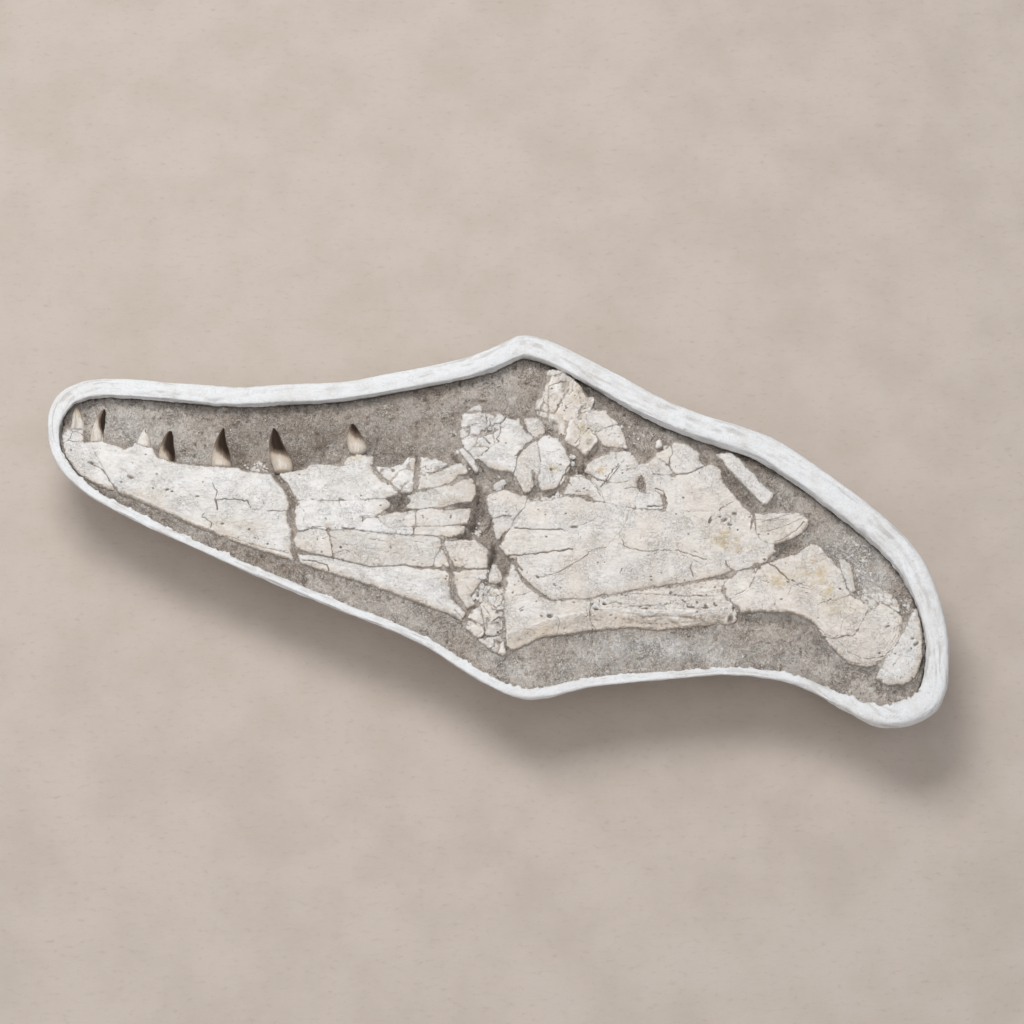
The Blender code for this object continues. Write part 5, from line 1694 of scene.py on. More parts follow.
@dataclass(frozen=True)
class Tooth:
    """A tooth lying on the rock: a flattened, bent cone that follows its own outline.

    Each row gives a place along Y and the left and right edge there, from the base to the tip.
    Heights along the tooth are shares of its length. The enamel is palest at the first and
    darkest at the second height of fade, most at the place core across the tooth (-1 is its
    left edge, 1 its right); this darker side is dark enamel with painted shade on the side
    away from the light. sunk is the share of its thickness that the base keeps.
    """

    name: str
    owner: str
    rows: tuple[tuple[float, float, float], ...]
    fade: tuple[float, float]
    core: float
    darkness: float
    collar: float = 0.0
    slant: float = 0.15
    ribs: float = 0.12
    lift: float = 0.0
    broken: float = 0.0
    pale: float = 0.12
    sunk: float = 1.0
    seed: int = 1
    sides: int = 72
    rings: int = 84

    def edges(self, v: Array) -> tuple[Array, Array, Array]:
        """The place along Y and the two edges at heights v, on softly bent lines.

        Args:
            v: heights from 0 at the base to 1 at the tip.

        Returns:
            The place along Y, the left and the right edge.
        """
        table = np.array(self.rows)
        fine = np.linspace(0.0, 1.0, 241)
        at = (table[:, 0] - table[0, 0]) / (table[-1, 0] - table[0, 0])
        taps = np.exp(-0.5 * (np.arange(-18, 19) / 7.0) ** 2)
        taps /= taps.sum()
        lines = []
        for k in (1, 2):
            line = np.interp(fine, at, table[:, k])
            start, end = 2 * line[0] - line[18:0:-1], 2 * line[-1] - line[-2:-20:-1]
            lines.append(np.interp(v, fine, np.convolve(np.concatenate([start, line, end]), taps, "valid")))
        return table[0, 0] + v * (table[-1, 0] - table[0, 0]), lines[0], lines[1]

    def covers(self, places: Array) -> Array:
        """Which places lie within the tooth or close beside it.

        Args:
            places: rows of x, y.

        Returns:
            True or false for each place.
        """
        table = np.array(self.rows)
        middle = np.interp(places[:, 1], table[:, 0], (table[:, 1] + table[:, 2]) / 2)
        half = (table[:, 2] - table[:, 1]).max() / 2
        return (np.abs(places[:, 0] - middle) < half + 4.0) & (places[:, 1] > table[0, 0] - 11.0)

    def build(self, finish: bpy.types.Material) -> bpy.types.Object:
        """Work out the tooth: rings of a flattened circle between its two edges.

        Args:
            finish: the tooth's material.

        Returns:
            The finished object.
        """
        turn = np.linspace(0.0, math.tau, self.sides, endpoint=False)
        v_line = 1.0 - (1.0 - np.linspace(0.0, 1.0, self.rings)) ** 1.15
        along, left, right = self.edges(v_line)
        end = np.sqrt(np.clip(1.0 - np.clip(1.0 - v_line / 0.035, 0.0, 1.0) ** 2, 0.0, 1.0))
        width = np.maximum((right - left) / 2, 0.35) * (0.35 + 0.65 * end)
        u = np.repeat(turn[None, :], len(v_line), axis=0)
        v = np.repeat(v_line[:, None], self.sides, axis=1)
        c, s = np.cos(u), np.sin(u)
        length = self.rows[-1][0] - self.rows[0][0]
        around = np.column_stack([(c * 7.0).ravel(), (s * 7.0).ravel(), (v * length).ravel()])
        ribs = lattice_noise(around, (1.6, 1.6, 24.0), self.seed).reshape(u.shape)
        lumps = cloud(around, 9.0, self.seed + 1, 3).reshape(u.shape)
        scallop = cloud(np.column_stack([(c * 6).ravel(), (s * 6).ravel()]), 5.0, self.seed + 2, 3)
        fold = self.collar + 0.05 * scallop.reshape(u.shape)
        crown = smoothstep(-0.01, 0.01, v - fold) if self.collar else np.ones_like(u)
        bulge = self.ribs * ribs * (1.0 + 1.5 * (1.0 - crown)) + (0.2 + 0.5 * (1.0 - crown)) * lumps
        if self.collar:
            bulge += 0.15 * crown - 0.28 * np.exp(-((v - fold) / 0.014) ** 2)
        bulge -= 3.2 * self.broken * smoothstep(0.80, 1.0, v + 0.10 * c) * smoothstep(-0.2, 0.4, c)
        reach = width[:, None] + bulge * np.minimum(1.0, width[:, None] / 3.0)
        rise = ROCK_LEVEL + 1.0 + 0.12 * (width.max() - width) + self.lift * (1.0 - v_line) ** 1.5
        places = np.empty((*u.shape, 3))
        places[..., 0] = ((left + right) / 2)[:, None] + c * reach
        places[..., 1] = along[:, None] + 0.8 * lumps * (v < 0.06)
        flat = 0.86 * (self.sunk + (1.0 - self.sunk) * smoothstep(0.0, 0.34, v_line))
        places[..., 2] = rise[:, None] + flat[:, None] * s * reach
        foot = (places[0].mean(axis=0) - (0.0, 0.6, 0.0))[None]
        top = (places[-1].mean(axis=0) + (0.0, 0.5, 0.0))[None]
        points = np.vstack([places.reshape(-1, 3), foot, top])
        quads, ends = ring_faces(self.rings, self.sides)
        # the darker side is enamel colour together with painted shade on the side away from the light
        dark = smoothstep(self.fade[0], self.fade[1], v + self.slant * c + 0.03 * lumps)
        enamel_and_shade_side = 0.42 + 0.58 * np.exp(-(np.maximum(np.abs(c - self.core) - 0.25, 0.0) / 0.55) ** 2)
        enamel = crown * (self.pale + self.darkness * dark * enamel_and_shade_side + 0.04 * ribs + 0.03 * lumps)
        hollow = self.broken * smoothstep(0.80, 0.92, v + 0.10 * c) * smoothstep(-0.3, 0.3, c)
        crazing = lattice_noise(around, (2.2, 2.2, 60.0), self.seed + 5).reshape(u.shape)
        cracks = smoothstep(0.66, 0.88, crazing)
        # painted highlight: a white spot at the very tip of the paler teeth
        white = 0.7 * smoothstep(0.975, 0.995, v) * (1.0 - self.darkness)
        marks = {
            Mark.ENAMEL: np.concatenate([enamel.ravel(), [0.0, enamel[-1].mean()]]),
            Mark.CRACK: np.concatenate([np.clip(0.35 * cracks * crown + hollow, 0, 1).ravel(), [0.0, 0.0]]),
            Mark.WHITE: np.concatenate([white.ravel(), [0.0, 0.0]]),
        }
        piece = fill_mesh(self.name, points, quads, [np.array(end) for end in ends], marks)
        piece.data.materials.append(finish)
        return piece


TEETH = (
    Tooth("tooth_at_tip", "dentary_tip",
          ((150, -538.5, -518), (155, -538.6, -519.2), (163, -536.6, -520.4), (171, -536, -523.1),
           (180, -535.2, -525.8), (184, -534.2, -527.4), (187, -532.4, -529.7)),
          (0.45, 1.0), 0.7, 0.42, 0.0, 0.12, 0.35, 0.0, pale=0.04, sunk=0.42, seed=301),
    Tooth("tooth_fibrous", "dentary_front",
          ((137, -512, -495), (143, -511.4, -494.9), (153, -509.8, -495.4), (163, -507.6, -494.7),
           (168, -506.4, -494.6), (173, -504.3, -494.5), (179, -501.1, -494), (183.5, -497, -495)),
          (0.30, 0.66), 0.7, 0.90, 0.0, 0.26, 0.75, 0.0, pale=0.06, sunk=0.40, seed=311),
    Tooth("tooth_stump", "dentary_front",
          ((119, -457, -432), (125, -455.1, -433.1), (134, -452.5, -434.4), (143, -450.3, -435.6),
           (150, -447, -437), (155, -444, -440)),
          (0.6, 1.3), 0.6, 0.30, 0.0, 0.1, 0.45, 0.0, 1.0, 0.02, 0.35, 321),
    Tooth("tooth_small", "dentary_front",
          ((105, -416, -407.5), (108, -420, -404.8), (113, -423.4, -402.4), (118, -423.8, -402),
           (124, -422.8, -403.1), (130, -421.7, -404.4), (136, -420.5, -405.3),
           (142, -418.6, -405.9), (148, -416, -406.8), (152, -413, -408)),
          (-0.02, 0.50), 0.4, 0.92, 0.0, 0.26, 0.12, 4.0, seed=331),
    Tooth("tooth_large", "dentary_front",
          ((97.5, -354, -332), (101, -356, -329.8), (106, -356.3, -330.4), (113, -356.3, -332.6),
           (121, -355.5, -333.4), (128, -354.4, -335.2), (135, -352.9, -337.8), (143, -350.6, -339.6),
           (150, -347.4, -340.6), (156.5, -343.6, -341.6)),
          (0.08, 0.58), 0.3, 0.92, 0.0, 0.16, 0.12, 3.0, seed=341),
    Tooth("tooth_dark", "dentary_rear_upper",
          ((91, -274, -256), (95, -276, -252.6), (101, -277.8, -252.6), (107, -279.8, -253.6),
           (116, -282.1, -257.2), (124, -283.2, -260.6), (133, -283.6, -265.4),
           (141, -283.2, -268.6), (149, -281.9, -271.6), (156.5, -279.4, -277.4)),
          (0.20, 0.58), 0.1, 0.96, 0.0, 0.04, 0.12, 5.0, seed=351),
    Tooth("tooth_socketed", "dentary_rear_socket",
          ((118, -178.5, -166), (121, -181, -162), (126, -182.8, -159), (131, -184.2, -160),
           (138, -184.8, -163), (145, -184.6, -166.2), (153, -183.8, -169.2),
           (158, -182.6, -171.8), (162, -180.9, -174.6)),
          (0.22, 0.86), 0.2, 0.86, 0.0, 0.10, 0.14, 4.0, 0.35, seed=361),
)


# Grooves and hollows in the rock, and lumps on it
ROCK_CRACKS = cracks_of((
    (4.4, 4.5, 0.55, -28, 102, -22, 80, -17, 55, -14, 39, -20, 26, -25, 15),
    (2.8, 3.5, 0.75, -16, 9, -2.5, 17, -1, 23), (2.2, 2.6, 0.85, 103, 112, 98, 99, 90, 86, 81, 74),
    (2.0, 2.6, 0.8, -52, 122, -42, 108, -34, 96), (3.4, 6.0, 0.9, 0, -12, 1, -28, 0, -44),
    (3.0, 4.0, 0.9, 528, -105, 534, -118, 536, -134), (2.6, 4.0, 0.9, 532.7, -160, 529, -168, 527.5, -174),
    (4.0, 3.0, 0.25, 104, 223, 125, 207, 160, 185), (5.0, 4.0, 0.3, 296, 110, 300, 92, 318, 66, 332, 44),
    (2.4, 1.2, 0.15, -268, 95, -262, 72, -252, 50, -252, 20, -247, -18),
))
ROCK_DENTS = tuple(Dent(*row) for row in (
    (-117, 49, 22, 16, 1.8, 0, 0.2), (-40, 43, 34, 5, 1.5, 8, 0.2), (-112, 56, 8, 4, 2, 0, 0.4),
    (10.5, -64, 6, 6, 3, 0, 0.9), (18.5, -145, 6, 12, 3, 0, 0.8), (-49.5, 148, 4, 4, 2.5, 0, 0.95),
    (114, 97, 12, 17, 4, 0, 0.8), (188, 76, 11, 20, 3, 0, 0.35), (118, 116, 16, 18, 2, 0, 0.3),
    (-6, 74, 15, 20, -4.5, 0, 0.0), (27, 76, 14, 18, -3.5, 0, 0.0), (106, 98, 5, 14, -3, 20, 0.0),
    (133, 114, 7, 9, -3, 0, 0.0), (123, 108, 5, 7, -2.5, 0, 0.0), (-20, 94, 10, 6, 3, -40, 0.5),
    (521, -87, 12, 24, -2.5, 0, 0.0), (-297, 101, 28, 20, -2.6, 0, 0.0), (86, 62, 8, 8, -2, 0, 0.0),
    (66, 56, 44, 10, -1.5, 0, 0.0), (-418, 108, 10, 22, 2.0, 30, 0.5),
))


@dataclass(frozen=True)
class Tint:
    """A cloudy patch of the rock, paler for a positive strength, and darker, as painted shade, for
    a negative strength.
    """

    x: float
    y: float
    along: float
    across: float
    strength: float


# painted shade: the negative patches lie beside the teeth, under the far rim and below the bones' lower edges
ROCK_TINTS = tuple(Tint(*row) for row in (
    (-300, 150, 150, 45, -0.35), (-235, 125, 45, 40, -0.95), (-130, 140, 50, 35, -0.85),
    (-322, 125, 24, 40, -0.95), (-470, 165, 55, 28, 0.3), (-500, 185, 60, 14, -0.3),
    (205, -150, 84, 17, 1.3), (20, -170, 60, 22, 0.3), (120, -175, 80, 24, 0.45),
    (-150, -100, 140, 26, 0.35), (-455, 140, 45, 9, 0.7), (-378, 112, 32, 9, 0.9), (-455, 156, 40, 26, 0.5),
    (-340, 98, 14, 8, 0.5), (330, -160, 160, 36, 0.4), (-60, 200, 90, 30, -0.2), (470, -50, 45, 70, 0.8),
    (-400, 150, 60, 20, 0.35), (-380, 30, 160, 20, 0.15), (440, 40, 40, 30, 0.3), (-280, -30, 60, 30, -0.2),
    (-120, -100, 60, 30, -0.2), (420, -10, 22, 30, 0.55), (150, 170, 60, 20, -0.45),
    (310, 80, 30, 40, -0.35),
))


@dataclass(frozen=True)
class Scatter:
    """A patch where bits of bone lie: its middle and spread, their number and mean size."""

    x: float
    y: float
    wide: float
    deep: float
    count: int
    size: float
    on_bone: bool = False


SCATTERS = tuple(Scatter(*row) for row in (
    (-297, 101, 14, 10, 30, 1.8), (67, 56, 24, 5, 26, 1.7), (87, 62, 5, 4, 7, 2.4),
    (-19, 14, 6, 9, 16, 1.8), (-44, 121, 4, 4, 6, 1.7), (10, 76, 7, 8, 5, 4.0), (101, 111, 3, 10, 6, 2.6),
    (162, 152, 5, 8, 5, 3.0), (223, 124, 3, 6, 4, 2.6), (389, 12, 10, 10, 12, 1.9),
    (-47, 149, 2, 2, 2, 1.6), (-30, 105, 8, 12, 9, 1.9), (14, -72, 3, 8, 5, 1.9),
    (516, -88, 7, 10, 12, 2.0), (-330, 150, 120, 30, 14, 1.0), (80, -195, 40, 8, 20, 1.1),
    (180, 150, 30, 14, 12, 1.3), (-120, 170, 90, 30, 14, 0.9), (340, -160, 70, 20, 14, 1.0),
    (420, -190, 40, 20, 12, 1.0), (480, 0, 25, 30, 12, 1.1), (-14, -78, 14, 26, 34, 3.0, True),
    (-26, -40, 10, 14, 10, 2.4, True), (150, 112, 26, 22, 26, 2.4, True), (40, 150, 40, 22, 12, 2.0, True),
    (-5, 160, 14, 14, 14, 2.6, True), (126, -92, 12, 8, 14, 2.2, True), (240, -92, 50, 6, 16, 1.8, True),
    (488, -118, 14, 14, 18, 2.2, True), (464, -42, 34, 60, 52, 1.6), (432, 4, 30, 24, 24, 1.5),
    (-440, 150, 60, 34, 24, 1.0), (-80, 92, 26, 8, 12, 2.2, True), (386, -66, 14, 6, 8, 1.8, True),
))


@dataclass
class RockBed:
    """The rock matrix: scraped and brushed ground that rises into the gaps between the bones."""

    site: Site
    pocket: Array
    node: str = "rock_matrix"
    seed: int = 500

    def scrape(self, places: Array) -> Array:
        """Tool and brush strokes: six sets of short streaks, each in its own patches.

        Args:
            places: rows of x, y.

        Returns:
            One height for each place.
        """
        total = np.zeros(len(places))
        bent = warp(places, 9.0, 26.0, self.seed + 1)
        for k, turn in enumerate((20.0, 50.0, 80.0, 115.0, 150.0, -10.0)):
            where = smoothstep(-0.05, 0.45, lattice_noise(places, 24.0, self.seed + 10 + k))
            total += where * streaks(bent, turn, 10.0, 3.4, self.seed + 20 + k)
        return total

    def ground_height(self, places: Array, shape: tuple[int, int], near: Array) -> tuple[Array, Array, Array]:
        """The ground's height, how dark it is and how far it fills the gaps between bones.

        The height is the rock's own level, worn lower beside the wall, lifted into the gaps
        between bones almost to their tops, plus strokes, lumps and grit, less grooves and
        hollows. Under bone it stays below the bone's surface.

        Args:
            places: the grid's nodes.
            shape: the grid's rows and columns.
            near: each node's distance from the pocket's wall.

        Returns:
            Three tables of the shape.
        """
        site, seed = self.site, self.seed
        base = ROCK_LEVEL - 0.3 - 1.5 * np.exp(-near / 14.0)
        share = site.share(8.0)
        top = site.mean_top(6.0)
        fill = smoothstep(0.42, 0.70, share)
        seat = 1.0 + 0.5 * cloud(places, 11.0, seed + 30, 2).reshape(shape)
        seat += 0.9 * smoothstep(0.0, 0.6, cloud(places, 45.0, seed + 32, 2).reshape(shape))
        height = base + (top - seat - base) * fill
        heaps = 1.0 + 0.35 * cloud(places, 9.0, seed + 33, 2).reshape(shape)
        bank = 0.9 * np.exp(-(site.near / 4.5) ** 2) * heaps
        height = np.maximum(height, base + (top - 4.0 - base) * bank)
        open_ground = 1.0 - 0.7 * fill
        stroke = self.scrape(places).reshape(shape)
        lumps = cloud(places, 24.0, seed + 2, 4, 0.6).reshape(shape)
        grit = cloud(places, 4.6, seed + 3, 2).reshape(shape)
        pits = smoothstep(0.62, 0.90, lattice_noise(places, 4.2, seed + 4)).reshape(shape)
        knobs = smoothstep(0.60, 0.95, lattice_noise(places, 5.4, seed + 5)).reshape(shape)
        height = height + (0.62 * stroke + 1.3 * lumps + 0.5 * grit - 1.2 * pits + 0.7 * knobs) * open_ground
        dark = 0.55 * pits * open_ground
        uneven = 1.0 + 0.35 * lattice_noise(places, 9.0, seed + 6).reshape(shape)
        for crack in ROCK_CRACKS:
            samples = even_walk(np.array(crack.route), 0.8, closed=False)
            away, _ = site.ground.stamp(samples + 1.6 * np.column_stack(
                [lattice_noise(samples, 7.0, 77), lattice_noise(samples, 7.0, 78)]), 16.0)
            groove = np.exp(-(away / (crack.width * uneven)) ** 2) * (away < 15.9)
            height -= crack.depth * groove
            dark = np.maximum(dark, crack.dark * groove ** 1.3)
        warped = warp(places, 1.6, 7.0, seed + 7)
        for dent in ROCK_DENTS:
            bowl = np.exp(-dent.away(warped) ** 3).reshape(shape)
            height -= dent.depth * bowl
            dark = np.maximum(dark, dent.dark * bowl)
        under = site.tops - 1.0 - np.clip(site.near - 0.6, 0.0, 2.6)
        height = np.where(site.cover, np.minimum(height, under), height)
        return np.clip(height, ROCK_LEVEL - 9.0, ROCK_LEVEL + 18.0), dark, fill

    def build(self, finish: bpy.types.Material) -> bpy.types.Object:
        """Work out the ground on a grid and make its mesh.

        Args:
            finish: the rock's material.

        Returns:
            The finished object.
        """
        site, ground = self.site, self.site.ground
        places = ground.places()
        shape = ground.shape
        edge = even_walk(self.pocket, 1.0)
        inside = ground.inside(self.pocket)
        near, nearest = ground.stamp(edge, 30.0)
        height, dark, fill = self.ground_height(places, shape, near)
        self.height = height
        soft = filled_in(height, inside & ~site.cover, 5.0 / ROCK_STEP)
        relief = height - soft
        wander = lattice_noise(places, 6.0, self.seed + 8).reshape(shape)
        # painted shade: a darker band along the jacket's wall and a thin one round every bone
        dark = np.maximum(dark, 0.32 * smoothstep(3.4, 0.5, near) * (0.6 + 0.4 * wander))
        dark = np.maximum(dark, 0.14 * smoothstep(2.0, 0.4, site.near) * (1.0 + wander))
        # tint: chalky patches where positive, painted shade where negative
        tint = np.zeros(len(places))
        loose = warp(places, 14.0, 36.0, self.seed + 31)
        for patch in ROCK_TINTS:
            away = np.hypot((loose[:, 0] - patch.x) / patch.along, (loose[:, 1] - patch.y) / patch.across)
            tint += patch.strength * np.exp(-1.2 * away ** 2)
        tint = tint.reshape(shape) * (1.0 - 0.8 * fill)
        grid = ClippedGrid(ground, edge, near, nearest, inside)
        top_points = np.column_stack([grid.places, grid.pick(height)])
        rim = grid.rim
        points = [top_points]
        inward = -loop_normals(edge)[np.maximum(grid.pick(nearest)[rim], 0)]
        for down, drawn_in in ((6.0, 2.0), (12.0, 9.0)):
            lower = top_points[rim].copy()
            lower[:, :2] += drawn_in * inward
            lower[:, 2] = ROCK_LEVEL - down
            points.append(lower)
        quads, caps = grid.faces(2)
        # crack carries the grooves', pits' and hollows' dark and the painted shade bands; the hidden walls
        # take 0.4 of every mark
        tables = {
            Mark.CRACK: np.clip(dark, 0, 1),
            Mark.RELIEF: 0.5 + 0.30 * np.clip(relief, -1.5, 1.5),
            Mark.WHITE: np.clip(tint, 0, 1),
            Mark.FLANK: np.clip(-tint, 0, 1),
        }
        marks = {mark: np.concatenate([grid.pick(table), np.full(2 * len(rim), 0.4)])
                 for mark, table in tables.items()}
        piece = fill_mesh("rock_bed", np.vstack(points), quads, caps, marks)
        piece.data.materials.append(finish)
        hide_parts(self.node)
        return piece


@dataclass
class BoneChips:
    """Small bits of bone scattered on the rock, each a flat-sided crumb pressed into the ground."""

    site: Site
    height: Array
    seed: int = 900
    around: int = 12
    stack: int = 7
    facets: int = 9

    def spots(self, chance: np.random.Generator) -> Array:
        """Where the bits lie: rows of x, y, ground height and size.

        Args:
            chance: the source of random numbers.

        Returns:
            One row for each bit.
        """
        rows = []
        for patch in SCATTERS:
            where = chance.normal(0.0, 0.5, (patch.count, 2)) * (patch.wide, patch.deep) + (patch.x, patch.y)
            size = patch.size * chance.uniform(0.5, 1.3, patch.count)
            cover = self.site.ground.read(self.site.cover.astype(float), where)
            rock = self.site.ground.read(self.height, where)
            bone = self.site.ground.read(self.site.tops, where)
            level = np.where(cover > 0.9, bone - 0.25 * size, rock)
            keep = (cover < 0.2) | ((cover > 0.9) & patch.on_bone)
            rows.append(np.column_stack([where, level, size])[keep])
        return np.vstack(rows)

    def build(self, finish: bpy.types.Material) -> bpy.types.Object:
        """Lay out all the bits as one mesh.

        In each direction u from its middle, a bit reaches as far as the nearest of its own
        random planes: the least of d / (n . u) over planes of normal n at distance d. It is
        then flattened and turned.

        Args:
            finish: the bits' material.

        Returns:
            The finished object.
        """
        chance = np.random.default_rng(self.seed)
        spots = self.spots(chance)
        lat = np.linspace(0.0, math.pi, self.stack + 2)[1:-1]
        lon = np.linspace(0.0, math.tau, self.around, endpoint=False)
        ball = np.stack([np.outer(np.sin(lat), np.cos(lon)), np.outer(np.sin(lat), np.sin(lon)),
                         np.outer(np.cos(lat), np.ones_like(lon))], axis=-1).reshape(-1, 3)
        ball = np.vstack([ball, [(0.0, 0.0, 1.0), (0.0, 0.0, -1.0)]])
        number = len(spots)
        normals = chance.normal(0.0, 1.0, (number, self.facets, 3))
        normals /= np.linalg.norm(normals, axis=2, keepdims=True)
        away = chance.uniform(0.45, 1.0, (number, 1, self.facets))
        reach = away / np.maximum(np.einsum("bc,nfc->nbf", ball, normals), 0.05)
        shape = ball[None] * np.minimum(reach.min(axis=2), 1.3)[..., None]
        shape *= chance.uniform(0.7, 1.5, (number, 1, 3)) * (1.0, 1.0, 0.55)
        turn = chance.uniform(0.0, math.tau, (number, 1))
        x = shape[..., 0] * np.cos(turn) - shape[..., 1] * np.sin(turn)
        y = shape[..., 0] * np.sin(turn) + shape[..., 1] * np.cos(turn)
        shape = np.stack([x, y, shape[..., 2]], axis=-1) * spots[:, None, 3:4]
        shape[..., :2] += spots[:, None, :2]
        shape[..., 2] += (spots[:, 2] + 0.12 * spots[:, 3])[:, None]
        quad, ends = ring_faces(self.stack, self.around)
        offsets = np.arange(number) * len(ball)
        quads = (quad[None] + offsets[:, None, None]).reshape(-1, 4)
        triangles = (np.array(ends)[None] + offsets[:, None, None]).reshape(-1, 3)
        points = shape.reshape(-1, 3)
        # relief just over the middle paints the bits a little whiter: a painted highlight
        marks = {Mark.RELIEF: np.full(len(points), 0.56), Mark.EDGE: np.full(len(points), 0.12)}
        piece = fill_mesh("bone_chips", points, quads, list(triangles), marks)
        piece.data.materials.append(finish)
        return piece


@dataclass
class Jacket:
    """The plaster jacket: a rolled rim and a bandaged hull on a flat foot."""

    node: str = "plaster_jacket"
    rim_stations: int = 1750
    rim_turns: int = 54
    hull_stations: int = 1060
    hull_depths: int = 76
    lining_depths: int = 5
    seed: int = 700
    rings: Array = field(init=False)
    along: Array = field(init=False)
    length: float = field(init=False)

    def __post_init__(self) -> None:
        """Read the solid's rings: the outer edge, the inner edge and the hull down to the foot.

        Every ring of the solid has the same number of points, so each is turned to start beside
        the outer edge's first point, where the sum of squared distances is least.
        """
        solid = Solid(self.node)
        outer, inner = solid.loops_at(GIRTH_LEVEL)[:2]
        rings = [outer, inner] + [solid.loops_at(level)[0] for level in HULL_LEVELS]
        turned = [outer]
        for loop in rings[1:]:
            apart = [np.sum((outer - np.roll(loop, -k, axis=0)) ** 2) for k in range(len(loop))]
            turned.append(np.roll(loop, -int(np.argmin(apart)), axis=0))
        self.rings = np.hstack(turned)
        steps = np.linalg.norm(np.roll(outer, -1, axis=0) - outer, axis=1)
        self.along = np.concatenate([[0.0], np.cumsum(steps)])
        self.length = float(self.along[-1])

    def stations(self, count: int) -> tuple[Array, Array]:
        """The rings read at even steps along the outer edge.

        Args:
            count: how many steps.

        Returns:
            The length along the edge at each step, and for each step the x, y of every ring,
            on a smooth curve through the ring's own points (each stretch is a cubic that
            leaves a point towards the point after its neighbour).
        """
        s = np.linspace(0.0, self.length, count, endpoint=False)
        k = np.clip(np.searchsorted(self.along, s, side="right") - 1, 0, len(self.rings) - 1)
        t = ((s - self.along[k]) / (self.along[k + 1] - self.along[k]))[:, None]
        n = len(self.rings)
        p0, p1, p2, p3 = (self.rings[(k + j) % n] for j in (-1, 0, 1, 2))
        rows = 0.5 * (2 * p1 + (p2 - p0) * t + (2 * p0 - 5 * p1 + 4 * p2 - p3) * t ** 2
                      + (3 * p1 - p0 - 3 * p2 + p3) * t ** 3)
        return s, rows

    def pocket(self) -> Array:
        """The outline of the hollow that the rock lies in."""
        _, rows = self.stations(900)
        return rows[:, 2:4]

    def section_turns(self) -> tuple[Array, Array]:
        """Turns round the rim's section, evenly spaced along it but sparser underneath.

        Returns:
            The turns, and for each how far round the section it lies, in half walls.
        """
        fine = np.linspace(-0.5 * math.pi, 1.5 * math.pi, 4001)
        c, sn = np.cos(fine), np.sin(fine)
        x = np.sign(c) * np.abs(c) ** 0.55
        y = np.where(sn > 0, 0.9, 1.4) * np.sign(sn) * np.abs(sn) ** 0.5
        steps = np.hypot(np.diff(x), np.diff(y))
        arc = np.concatenate([[0.0], np.cumsum(steps)])
        weighed = np.concatenate([[0.0], np.cumsum(steps * np.where(sn[1:] > -0.05, 1.0, 0.35))])
        turn = np.interp(np.linspace(0.0, weighed[-1], self.rim_turns, endpoint=False), weighed, fine)
        return turn, np.interp(turn, fine, arc)

    def build_rim(self, finish: bpy.types.Material) -> bpy.types.Object:
        """The rolled rim: a rounded section carried along the jacket's edge.

        Across the wall, a point at turn a lies at half the wall times a power of cos a, and above
        the section's middle by the crest's height times the same power of sin a: the lower the
        power, the squarer the section. Below its widest part the outside draws in to the hull.
        The near side's inner lip is torn over the rock. Fine brush streaks run along the rim, and
        the crack mark carries them to the plaster.

        Args:
            finish: the plaster.

        Returns:
            The finished object.
        """
        s, rows = self.stations(self.rim_stations)
        outer, inner = rows[:, 0:2], rows[:, 2:4]
        wall = np.linalg.norm(outer - inner, axis=1)
        out = (outer - inner) / wall[:, None]
        middle = (outer + inner) / 2
        turn, arc = self.section_turns()
        c, sn = np.cos(turn), np.sin(turn)
        near_side = smoothstep(0.15, 0.75, -out[:, 1])
        far_side = smoothstep(-0.1, 0.55, out[:, 1])
        squareness = np.where(c > 0, 0.66 - 0.20 * near_side[:, None], 0.58 - 0.20 * far_side[:, None])
        across = np.sign(c) * np.abs(c) ** np.where(sn >= 0, squareness, np.where(c > 0, 1.7, 0.62))
        upward = np.sign(sn) * np.abs(sn) ** np.where(sn >= 0, squareness, 0.58)
        crest = 9.0 + 0.6 * wall
        level = GIRTH_LEVEL + 5.5
        grid_s = np.repeat(s[:, None], len(turn), axis=1)
        grid_t = np.repeat(turn[None, :], len(s), axis=0)
        rise = np.where(upward > 0, (ROCK_LEVEL + crest - level)[:, None], 18.0) * upward
        lateral = across * (wall / 2)[:, None]
        lateral += 0.5 * np.minimum(rise, 0.0) * smoothstep(-0.6, 0.2, c)
        brow = bump(turn, 0.5, 0.86, 0.97, 1.16)
        lateral -= 6.2 * far_side[:, None] * brow[None, :]
        at = middle[:, None, :] + out[:, None, :] * lateral[..., None]
        base = np.dstack([at, level + rise])
        flat = base.reshape(-1, 3)
        swell = 0.9 * cloud(flat, 62.0, self.seed, 3) + 0.28 * cloud(flat, 13.0, self.seed + 1, 3)
        swell = swell.reshape(grid_s.shape)
        profile = arc * (wall / 2)[:, None]
        strands = np.column_stack([np.cos(grid_s.ravel() * math.tau / self.length) * self.length / math.tau,
                                   np.sin(grid_s.ravel() * math.tau / self.length) * self.length / math.tau,
                                   profile.ravel()])
        line = lattice_noise(strands, (30.0, 30.0, 2.2), self.seed + 2)
        line += 0.9 * lattice_noise(strands, (24.0, 24.0, 4.2), self.seed + 3)
        line = line.reshape(grid_s.shape)
        soft_line = smoothstep(-0.2, 0.5, cloud(flat, 80.0, self.seed + 4, 2)).reshape(grid_s.shape)
        holes = smoothstep(0.80, 0.93, lattice_noise(flat, 4.6, self.seed + 5)).reshape(grid_s.shape)
        holes *= smoothstep(0.30, 0.7, lattice_noise(flat, 38.0, self.seed + 6)).reshape(grid_s.shape)
        fold = lattice_noise(strands, (52.0, 52.0, 6.5), self.seed + 10).reshape(grid_s.shape)
        dabs = cloud(flat, 7.0, self.seed + 11, 3).reshape(grid_s.shape)
        astray = profile.ravel() + 3.2 * cloud(flat, 48.0, self.seed + 12, 2)
        wandering = np.column_stack([strands[:, :2], astray])
